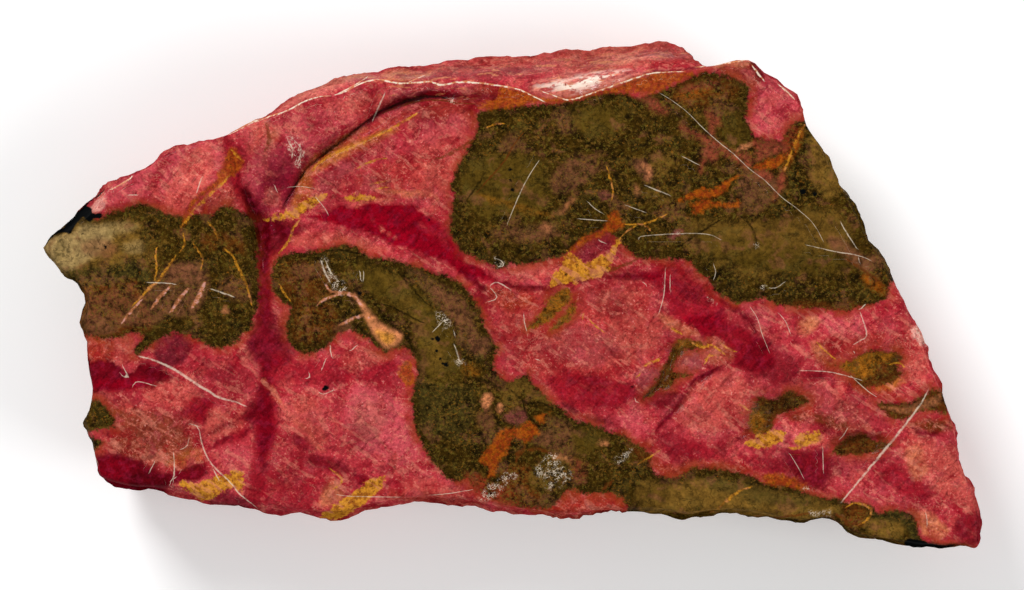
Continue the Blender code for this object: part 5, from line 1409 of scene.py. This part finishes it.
# %% Arithmetic with shader sockets
class Wire:
    """One output socket of a shader node that takes part in arithmetic."""

    def __init__(self, socket):
        self.socket = socket

    @staticmethod
    def node(kind, settings=None, values=None, output=0):
        """Make any node: settings first, then its inputs by name or number."""
        made = shading.nodes.new(kind)
        for key, value in (settings or {}).items():
            setattr(made, key, value)
        usable = [s for s in made.inputs if s.enabled]
        for key, value in (values or {}).items():
            socket = usable[key] if isinstance(key, int) else next(s for s in usable if s.name == key)
            if isinstance(value, Wire):
                shading.links.new(value.socket, socket)
            else:
                socket.default_value = value
        usable = [s for s in made.outputs if s.enabled]
        return Wire(usable[output] if isinstance(output, int) else made.outputs[output])

    def sibling(self, number):
        """Another output of the same node."""
        return Wire(self.socket.node.outputs[number])

    def maths(self, operation, *others):
        """One maths node on this value and others."""
        return Wire.node("ShaderNodeMath", {"operation": operation}, dict(enumerate((self, *others))))

    def __add__(self, other):
        return self.maths("ADD", other)

    def __sub__(self, other):
        return self.maths("SUBTRACT", other)

    def __rsub__(self, other):
        return Wire.node("ShaderNodeMath", {"operation": "SUBTRACT"}, {0: other, 1: self})

    def __mul__(self, other):
        return self.maths("MULTIPLY", other)

    __radd__ = __add__
    __rmul__ = __mul__

    def times(self, factor):
        """A colour or vector made stronger or weaker."""
        return Wire.node("ShaderNodeVectorMath", {"operation": "SCALE"}, {0: self, "Scale": factor})

    def step(self, low_edge, high_edge):
        """A soft step from 0 to 1; with the edges swapped it falls from 1 to 0."""
        return Wire.node("ShaderNodeMapRange", {"interpolation_type": "SMOOTHSTEP"},
                         {"Value": self, "From Min": low_edge, "From Max": high_edge})


# %% Colours and textures
def mix(under, over, share):
    """One colour laid over another; a name stands for a colour of the palette."""
    under, over = ((*linear(given), 1) if isinstance(given, str) else given for given in (under, over))
    return Wire.node("ShaderNodeMix", {"data_type": "RGBA"}, {"Factor": share, "A": under, "B": over})


def channel(colour, number):
    """The red (0), green (1) or blue (2) share of a colour."""
    return Wire.node("ShaderNodeSeparateColor", {}, {0: colour}, number)


def moved(vector, other):
    """The sum of two vectors."""
    return Wire.node("ShaderNodeVectorMath", {"operation": "ADD"}, {0: vector, 1: other})


def noise(place, scale, detail=2.0, roughness=0.5, output=0):
    """Noise with so many waves a millimetre."""
    return Wire.node("ShaderNodeTexNoise", {}, {"Vector": place, "Scale": scale, "Detail": detail,
                                                "Roughness": roughness}, output)


def cells(place, scale, output="Distance"):
    """Cells of random size and colour."""
    return Wire.node("ShaderNodeTexVoronoi", {}, {"Vector": place, "Scale": scale}, output)


def stored(name, output="Fac"):
    """A value that was stored on the mesh."""
    return Wire.node("ShaderNodeAttribute", {"attribute_name": name}, {}, output)


# %% [markdown]
# ### Rose stone
#
# Crystals of rhodonite are short and packed at all angles, so the rose is mottled at every
# scale from a fifth of a millimetre up, and streaked where crystals lie side by side.  Pale
# specks are cleavage faces that catch the light.

# %% The material and the noises that all of it shares
coat = bpy.data.materials.new("rhodonite")
coat.use_nodes = True
shading = coat.node_tree
shading.nodes.clear()
place = Wire.node("ShaderNodeTexCoord", output="Object").times(1 / MM)
broken_share = stored("broken")
aside = moved(place, (9.0, 5.0, 2.0))
tiny = noise(place, 3.6, 2.0)
grit = noise(aside, 3.0, 3.0, 0.7)
small = noise(place, 1.4, 3.0, 0.6)
middle = noise(place, 0.45, 4.0, 0.6)
haze = noise(aside, 0.17, 4.0, 0.55)
mottle = noise(aside, 0.9, 5.0, 0.66)
bend = moved(noise(place, 0.5, 2.0, 0.5, "Color"), (-0.5, -0.5, -0.5))
warped = moved(place, bend.times(2.4))
cloud = noise(warped, 0.36, 4.0, 0.6)
facets = channel(cells(warped, 0.3, "Color"), 0)
print("shader nodes of the noises:", len(shading.nodes))


# %% Streaks and threads
def streaks(turn, stretch, scale):
    """Straight cleavage streaks along a direction on the face, given as a turn in radians."""
    laid = Wire.node("ShaderNodeMapping", {"vector_type": "TEXTURE"},
                     {"Vector": place, "Rotation": (0, 0, turn), "Scale": (stretch, 1 / stretch, 1)})
    return noise(laid, scale, 3.0, 0.55)


def threads(scale, width, patches):
    """Thin winding lines, where a noise passes its middle value, in some patches only."""
    winding = (noise(warped, scale, 3.0, 0.6) - 0.5).maths("ABSOLUTE")
    return winding.step(width, width * 0.2) * patches


fibres = streaks(-0.6, 1.9, 0.62)
cross_fibres = streaks(0.8, 2.0, 0.7)
print("with the streaks:", len(shading.nodes))

# %% Rose stone, cloudy where its ground is pale and glassy where it is crimson
rose = stored("rose_tint", "Color")
cloudy = channel(rose, 1).step(0.002, 0.03)
rose = mix(rose, "crimson", cloud.step(0.5, 0.64) * (0.15 + cloudy * 0.45))
rose = mix(rose, "pink", cloud.step(0.48, 0.36) * cloudy * 0.4)
rose = mix(rose, "deep", haze.step(0.54, 0.68) * 0.4)
rose = mix(rose, "pale", mottle.step(0.55, 0.63) * cloudy * 0.32)
rose = mix(rose, "crimson", mottle.step(0.44, 0.37) * (0.1 + cloudy * 0.4))
rose = mix(rose, "pale", fibres.step(0.57, 0.64) * cloudy * 0.3)
rose = mix(rose, "deep", cross_fibres.step(0.58, 0.66) * 0.4)
rose = mix(rose, "salmon", middle.step(0.52, 0.64) * cloudy * 0.35)
rose = mix(rose, "deep", threads(0.42, 0.02, middle.step(0.48, 0.58)) * 0.5)
rose = mix(rose, "wine", threads(0.9, 0.025, cloud.step(0.5, 0.42)) * 0.3)
rose = mix(rose, "pale", threads(0.6, 0.014, haze.step(0.5, 0.42)) * cloudy * 0.4)
rose = rose.times(0.87 + facets * 0.3)
rose = mix(rose, "raspberry", mottle.step(0.48, 0.6) * (1 - cloudy) * 0.4)
rose = mix(rose, "wine", cross_fibres.step(0.5, 0.6) * (1 - cloudy) * 0.3)
gloss = stored("gloss")
rose = mix(rose, "crimson", streaks(0.16, 2.2, 0.5).step(0.52, 0.6) * gloss * 0.6)
rose = mix(rose, "peach", streaks(0.12, 2, 0.8).step(0.55, 0.62) * gloss * 0.6)
rose = rose.times(1 + (tiny - 0.5) * 1.1 + (small - 0.5) * 1.1 + (grit - 0.5) * 0.7)
rose = mix(rose, "blush", tiny.step(0.62, 0.68) * small.step(0.5, 0.58) * cloudy * 0.4)
print("with the rose stone:", len(shading.nodes))

# %% [markdown]
# ### Dark oxide
#
# The oxide is a crust of tiny grains: near-black gaps with olive and yellow crumbs between
# them.  It is darkest just inside its border, and outside the border iron has stained the rose
# stone rusty.  Where the crust is dense it looks smooth and even.

# %% Oxide over rose
crumb = noise(place, 2.3, 3.0, 0.75)
other_crumb = noise(aside, 1.9, 3.0, 0.75)
even = stored("smooth")
coarse = (1 - even * 0.85) * (0.55 + cloud)
oxide = stored("oxide_tint", "Color")
oxide_depth = stored("oxide") + (small - 0.5) * 1.3 + (grit - 0.5) * 1.2
rim = oxide_depth.step(1.9, 0.3)
oxide = mix(oxide, "greygreen", middle.step(0.5, 0.62) * 0.4)
oxide = mix(oxide, "mauvebrown", cloud.step(0.54, 0.64) * 0.45)
oxide = mix(oxide, "jet", haze.step(0.5, 0.42) * mottle.step(0.54, 0.46) * (1 - even) * 0.35)
contour = (cloud - 0.47).maths("ABSOLUTE").step(0.026, 0.006)
oxide = mix(oxide, "coal", contour * middle.step(0.4, 0.5) * 0.5)
oxide = mix(oxide, "coal", threads(0.7, 0.03, haze.step(0.44, 0.54)) * (1 - even * 0.7) * 0.4)
patches = (middle - 0.5) * 1.6 + (mottle - 0.5) * 1.8
oxide = oxide.times(1.18 + even * 0.06 + patches + (small - 0.5) * 1.8 + (tiny - 0.5) * 0.9)
rosy = channel(stored("oxide_tint", "Color"), 2).step(0.012, 0.026)
grains = 0.1 + coarse * (1 - rosy * 0.7) * 0.6
oxide = mix(oxide, "coal", mottle.step(0.5, 0.36) * (0.15 + coarse * 0.55) * (1 - rosy * 0.5))
oxide = mix(oxide, "moss", crumb.step(0.53, 0.66) * grains)
oxide = mix(oxide, "tan", other_crumb.step(0.53, 0.66) * grains)
oxide = mix(oxide, "ochre", grit.step(0.58, 0.66) * middle.step(0.48, 0.58) * grains * 0.7)
oxide = mix(oxide, "coal", crumb.step(0.47, 0.34) * (0.1 + coarse * 0.4) * (1 - rosy * 0.5))
oxide = mix(oxide, "coal", rim * mottle.step(0.42, 0.56) * 0.4)

fringe = oxide_depth.step(-1.5, -0.2) * middle.step(0.36, 0.56)
rose = mix(rose, "rust", fringe * (0.2 + cloudy * 0.4))
oxide_share = oxide_depth.step(-0.3, 0.3)
colour = mix(rose, oxide, oxide_share)
print("with the oxide:", len(shading.nodes))

# %% [markdown]
# ### Marks over both
#
# Rust, gold and black come next, each as an area with a crumbly edge and as hair-thin lines.
# The white marks lie on top, because knocks and scratches came last.  With them go the painted
# highlight on the slope and the pale ridge lines, which are partly painted highlight.

# %% Hair-thin lines
def hairs(kind, wobble):
    """How much the hair-thin lines of this kind cover the spot."""
    cover = None
    for number in range(layer_counts[kind]):
        parts = Wire.node("ShaderNodeSeparateXYZ", {}, {0: stored(f"{kind}_{number}", "Vector")}, 0)
        across = (parts + wobble).maths("ABSOLUTE").step(1.3, 0.3)
        line = across * parts.sibling(1).step(0.1, 0.9)
        cover = line if cover is None else cover.maths("MAXIMUM", line)
    return cover


shaky = (grit - 0.5) * 2 + (small - 0.5) * 3
patchy = 0.45 + small.step(0.38, 0.54) * 0.55

# %% Rust and gold
rust_depth = stored("rust") + (small - 0.5) * 1.1 + (grit - 0.5) * 0.8
rust = mix("rust", "orange", small.step(0.42, 0.6))
rust = mix(rust, "darkolive", crumb.step(0.52, 0.62) * 0.6)
rust = rust.times(1 + (tiny - 0.5) * 1.4)
colour = mix(colour, rust, rust_depth.step(-0.25, 0.35) * 0.85)
colour = mix(colour, "rustbrown", hairs("seam", shaky) * patchy * 0.8)
gold_depth = stored("gold") + (small - 0.5) * 1.5 + (grit - 0.5) * 0.8
gold = mix("ochre", "gold", small.step(0.36, 0.56))
gold = gold.times(1 + (tiny - 0.5) * 1.2)
gold = mix(gold, "rustbrown", other_crumb.step(0.54, 0.62) * 0.65)
gold = mix(gold, "pale", fibres.step(0.54, 0.6) * 0.3)
gold_share = (gold_depth.step(-0.1, 0.22) * 0.9).maths("MAXIMUM", hairs("vein", shaky) * patchy * 0.75)
colour = mix(colour, gold, gold_share)
print("with rust and gold:", len(shading.nodes))

# %% Black marks
black_share = (stored("black") + (tiny - 0.5) * 0.4).step(-0.08, 0.12)
colour = mix(colour, "jet", black_share)
# Crack lines; the two along the crevice under the ridge are painted shade.
colour = mix(colour, "coal", hairs("crack", shaky) * patchy * 0.8)
print("with the black marks:", len(shading.nodes))

# %% White marks, and the painted highlight on the slope
fleck_depth = stored("fleck") + (small - 0.5) * 1.5
scribble = (noise(aside, 2.6, 2.0, 0.6) - 0.5).maths("ABSOLUTE").step(0.045, 0.01)
flecks = fleck_depth.step(-0.3, 0.4) * scribble.maths("MAXIMUM", grit.step(0.57, 0.62))
colour = mix(colour, "cream", flecks * small.step(0.42, 0.54) * 0.65)
# Painted highlight: streaky white where the slope catches the key lamp.
painted_highlight = stored("painted_glare").step(-0.5, 0.9) * streaks(0.12, 2.4, 0.8).step(0.42, 0.56)
colour = mix(colour, "white", painted_highlight * small.step(0.36, 0.5) * 0.95)
stroke = mix("peach", "blush", small.step(0.46, 0.6))
colour = mix(colour, stroke, hairs("stroke", shaky * 0.7) * patchy * 0.75)
# Pale ridge lines: partly bruised edges, partly a painted highlight along them.
ridge_bruise_and_highlight = mix("peach", "cream", small.step(0.42, 0.58))
colour = mix(colour, ridge_bruise_and_highlight, hairs("ridge_bruise_and_highlight", shaky * 0.8) * (0.6 + patchy * 0.4))
colour = mix(colour, "cream", hairs("scratch", shaky * 0.6) * patchy * 0.55)
print("with the white marks:", len(shading.nodes))

# %% [markdown]
# ### Gloss and grain
#
# The face is waxy where it is rose and duller where it is oxide.  The broken sides are dull,
# darkened a little as painted shade of their rough grain, and paler with dust low down, and
# their highest grains are nearly white with bruises.

# %% Close the shader
dust = stored("dusty") * (1 - black_share)
# Painted shade: the broken sides are darkened by up to a quarter, for the shade of their rough grain.
dusty = mix(colour.times(1 - broken_share * 0.25), "peach", dust * (0.1 + (small - 0.5) * 0.4))
dusty = mix(dusty, "blush", stored("wear").step(0.3, 0.9) * dust * 0.25)
roughness = 0.32 + oxide_share * 0.1 + broken_share * 0.3 + black_share * 0.4 + (small - 0.5) * 0.3
bumps = (tiny - 0.5) * 0.5 + (small - 0.5) * 0.9 + (crumb - 0.5) * oxide_share * coarse * 0.9
normal = Wire.node("ShaderNodeBump", {}, {"Height": bumps, "Distance": 0.00015, "Strength": 0.5},
                   "Normal")
surface = Wire.node("ShaderNodeBsdfPrincipled", {}, {
    "Base Color": dusty, "Roughness": roughness, "Normal": normal, "Specular IOR Level": 0.0,
    "Coat Weight": gloss * 0.3 + (1 - broken_share) * 0.05, "Coat Roughness": 0.14,
})
ending = shading.nodes.new("ShaderNodeOutputMaterial")
shading.links.new(surface.socket, ending.inputs["Surface"])
print("shader nodes:", len(shading.nodes))

# %% [markdown]
# ## The finished piece
#
# The tree is run once and its result becomes a plain mesh, which stands in for the plain stone.
# Points that stick out further than their neighbours are marked as worn, and the dust of the
# bruises gathers on them.

# %% Run the tree and take its result as a plain mesh
raw = bpy.data.objects.new("raw stone", mesh)
bpy.context.scene.collection.objects.link(raw)
breaking = breaking_tree()
modifier = raw.modifiers.new("Broken surface", "NODES")
modifier.node_group = breaking
for item in breaking.interface.items_tree:
    if item.in_out == "INPUT" and item.name == "Material":
        modifier[item.identifier] = coat
mesh = bpy.data.meshes.new_from_object(raw.evaluated_get(bpy.context.evaluated_depsgraph_get()))
raw.modifiers.clear()
bpy.data.objects.remove(raw)
mesh.polygons.foreach_set("use_smooth", np.ones(len(mesh.polygons), bool))
piece = bpy.data.objects.new("rhodonite", mesh)
bpy.context.scene.collection.objects.link(piece)
print("piece:", len(mesh.vertices), "points,", len(mesh.polygons), "triangles")

# %% Mark the convex edges as worn
WEAR_GAIN = 2.5
points = read(mesh.vertices, "co", 3) / MM
normals = read(mesh.vertex_normals, "vector", 3)
pairs = read(mesh.edges, "vertices", 2, np.int32)
mean = averaged(points, pairs, len(points))
lengths = np.linalg.norm(points[pairs[:, 0]] - points[pairs[:, 1]], axis=1)
bulge = ((points - mean) * normals).sum(axis=1) / np.median(lengths)
keep("wear", "FLOAT", np.clip(bulge * WEAR_GAIN, -1, 1))
print("worn points:", int((bulge * WEAR_GAIN > 0.3).sum()))

# %% Hand the piece over
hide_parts(STONE)
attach(piece, "root")
print("handed over:", piece.name, "in place of", STONE)

# %% [markdown]
# ## Table, light and camera
#
# The stone lies on pale paper.  A broad lamp from the upper left models the relief, a weaker
# one from the right fills the shadows, and the camera looks straight down.

# %% Pale paper
FLOOR_SIZE = 3.0
PAPER_WHITE = (0.9, 0.9, 0.9, 1)
PAPER_GLOW = 0.2
MOTTLE_SCALE = 40


def paper():
    """Pale paper with a faint mottle."""
    made = bpy.data.materials.new("pale paper")
    made.use_nodes = True
    nodes = made.node_tree.nodes
    links = made.node_tree.links
    mottle = nodes.new("ShaderNodeTexNoise")
    where = nodes.new("ShaderNodeTexCoord")
    mottle.inputs["Scale"].default_value = MOTTLE_SCALE
    shade = nodes.new("ShaderNodeMapRange")
    shade.inputs["To Min"].default_value = 0.55
    shade.inputs["To Max"].default_value = 0.65
    links.new(where.outputs["Object"], mottle.inputs["Vector"])
    links.new(mottle.outputs[0], shade.inputs["Value"])
    links.new(shade.outputs[0], nodes["Principled BSDF"].inputs["Roughness"])
    nodes["Principled BSDF"].inputs["Base Color"].default_value = PAPER_WHITE
    nodes["Principled BSDF"].inputs["Emission Color"].default_value = (1, 1, 1, 1)
    nodes["Principled BSDF"].inputs["Emission Strength"].default_value = PAPER_GLOW
    return made


floor_mesh = bpy.data.meshes.new("floor")
half = FLOOR_SIZE / 2
floor_mesh.from_pydata([(-half, -half, 0), (half, -half, 0), (half, half, 0), (-half, half, 0)], [],
                       [(0, 1, 2, 3)])
floor_mesh.materials.append(paper())
floor = bpy.data.objects.new("floor", floor_mesh)
bpy.context.scene.collection.objects.link(floor)
print("paper:", FLOOR_SIZE, "m square")

# %% Two lamps: name, place, size and power
LAMPS = (
    ("key", (-0.8, 1.15, 1.1), 0.6, 22),
    ("fill", (1.3, -0.5, 1.0), 0.9, 12),
)
AIM = (0, 0, 0.01)


def lamp(name, where, size, power):
    """A square lamp aimed at the stone."""
    light = bpy.data.lights.new(name, "AREA")
    light.size = size
    light.energy = power
    placed = bpy.data.objects.new(name, light)
    placed.location = where
    placed.rotation_euler = (Vector(AIM) - Vector(where)).to_track_quat("-Z", "Y").to_euler()
    bpy.context.scene.collection.objects.link(placed)


for row in LAMPS:
    lamp(*row)
print("lamps:", [name for name, *_ in LAMPS])

# %% A soft room and the camera
ROOM_LIGHT = 0.38
CAMERA_PLACE = (-0.00019, 0, 1.817)
LENS = 498
SENSOR = 36
scene = bpy.context.scene
world = bpy.data.worlds.new("soft room")
scene.world = world
world.use_nodes = True
world.node_tree.nodes["Background"].inputs["Color"].default_value = (1, 1, 1, 1)
world.node_tree.nodes["Background"].inputs["Strength"].default_value = ROOM_LIGHT
scene.view_settings.view_transform = "Standard"
camera_data = bpy.data.cameras.new("camera")
camera_data.lens = LENS
camera_data.sensor_width = SENSOR
camera = bpy.data.objects.new("camera", camera_data)
camera.location = CAMERA_PLACE
scene.collection.objects.link(camera)
scene.camera = camera
print("camera sees, in mm across:", round(CAMERA_PLACE[2] * SENSOR / LENS / MM, 1))
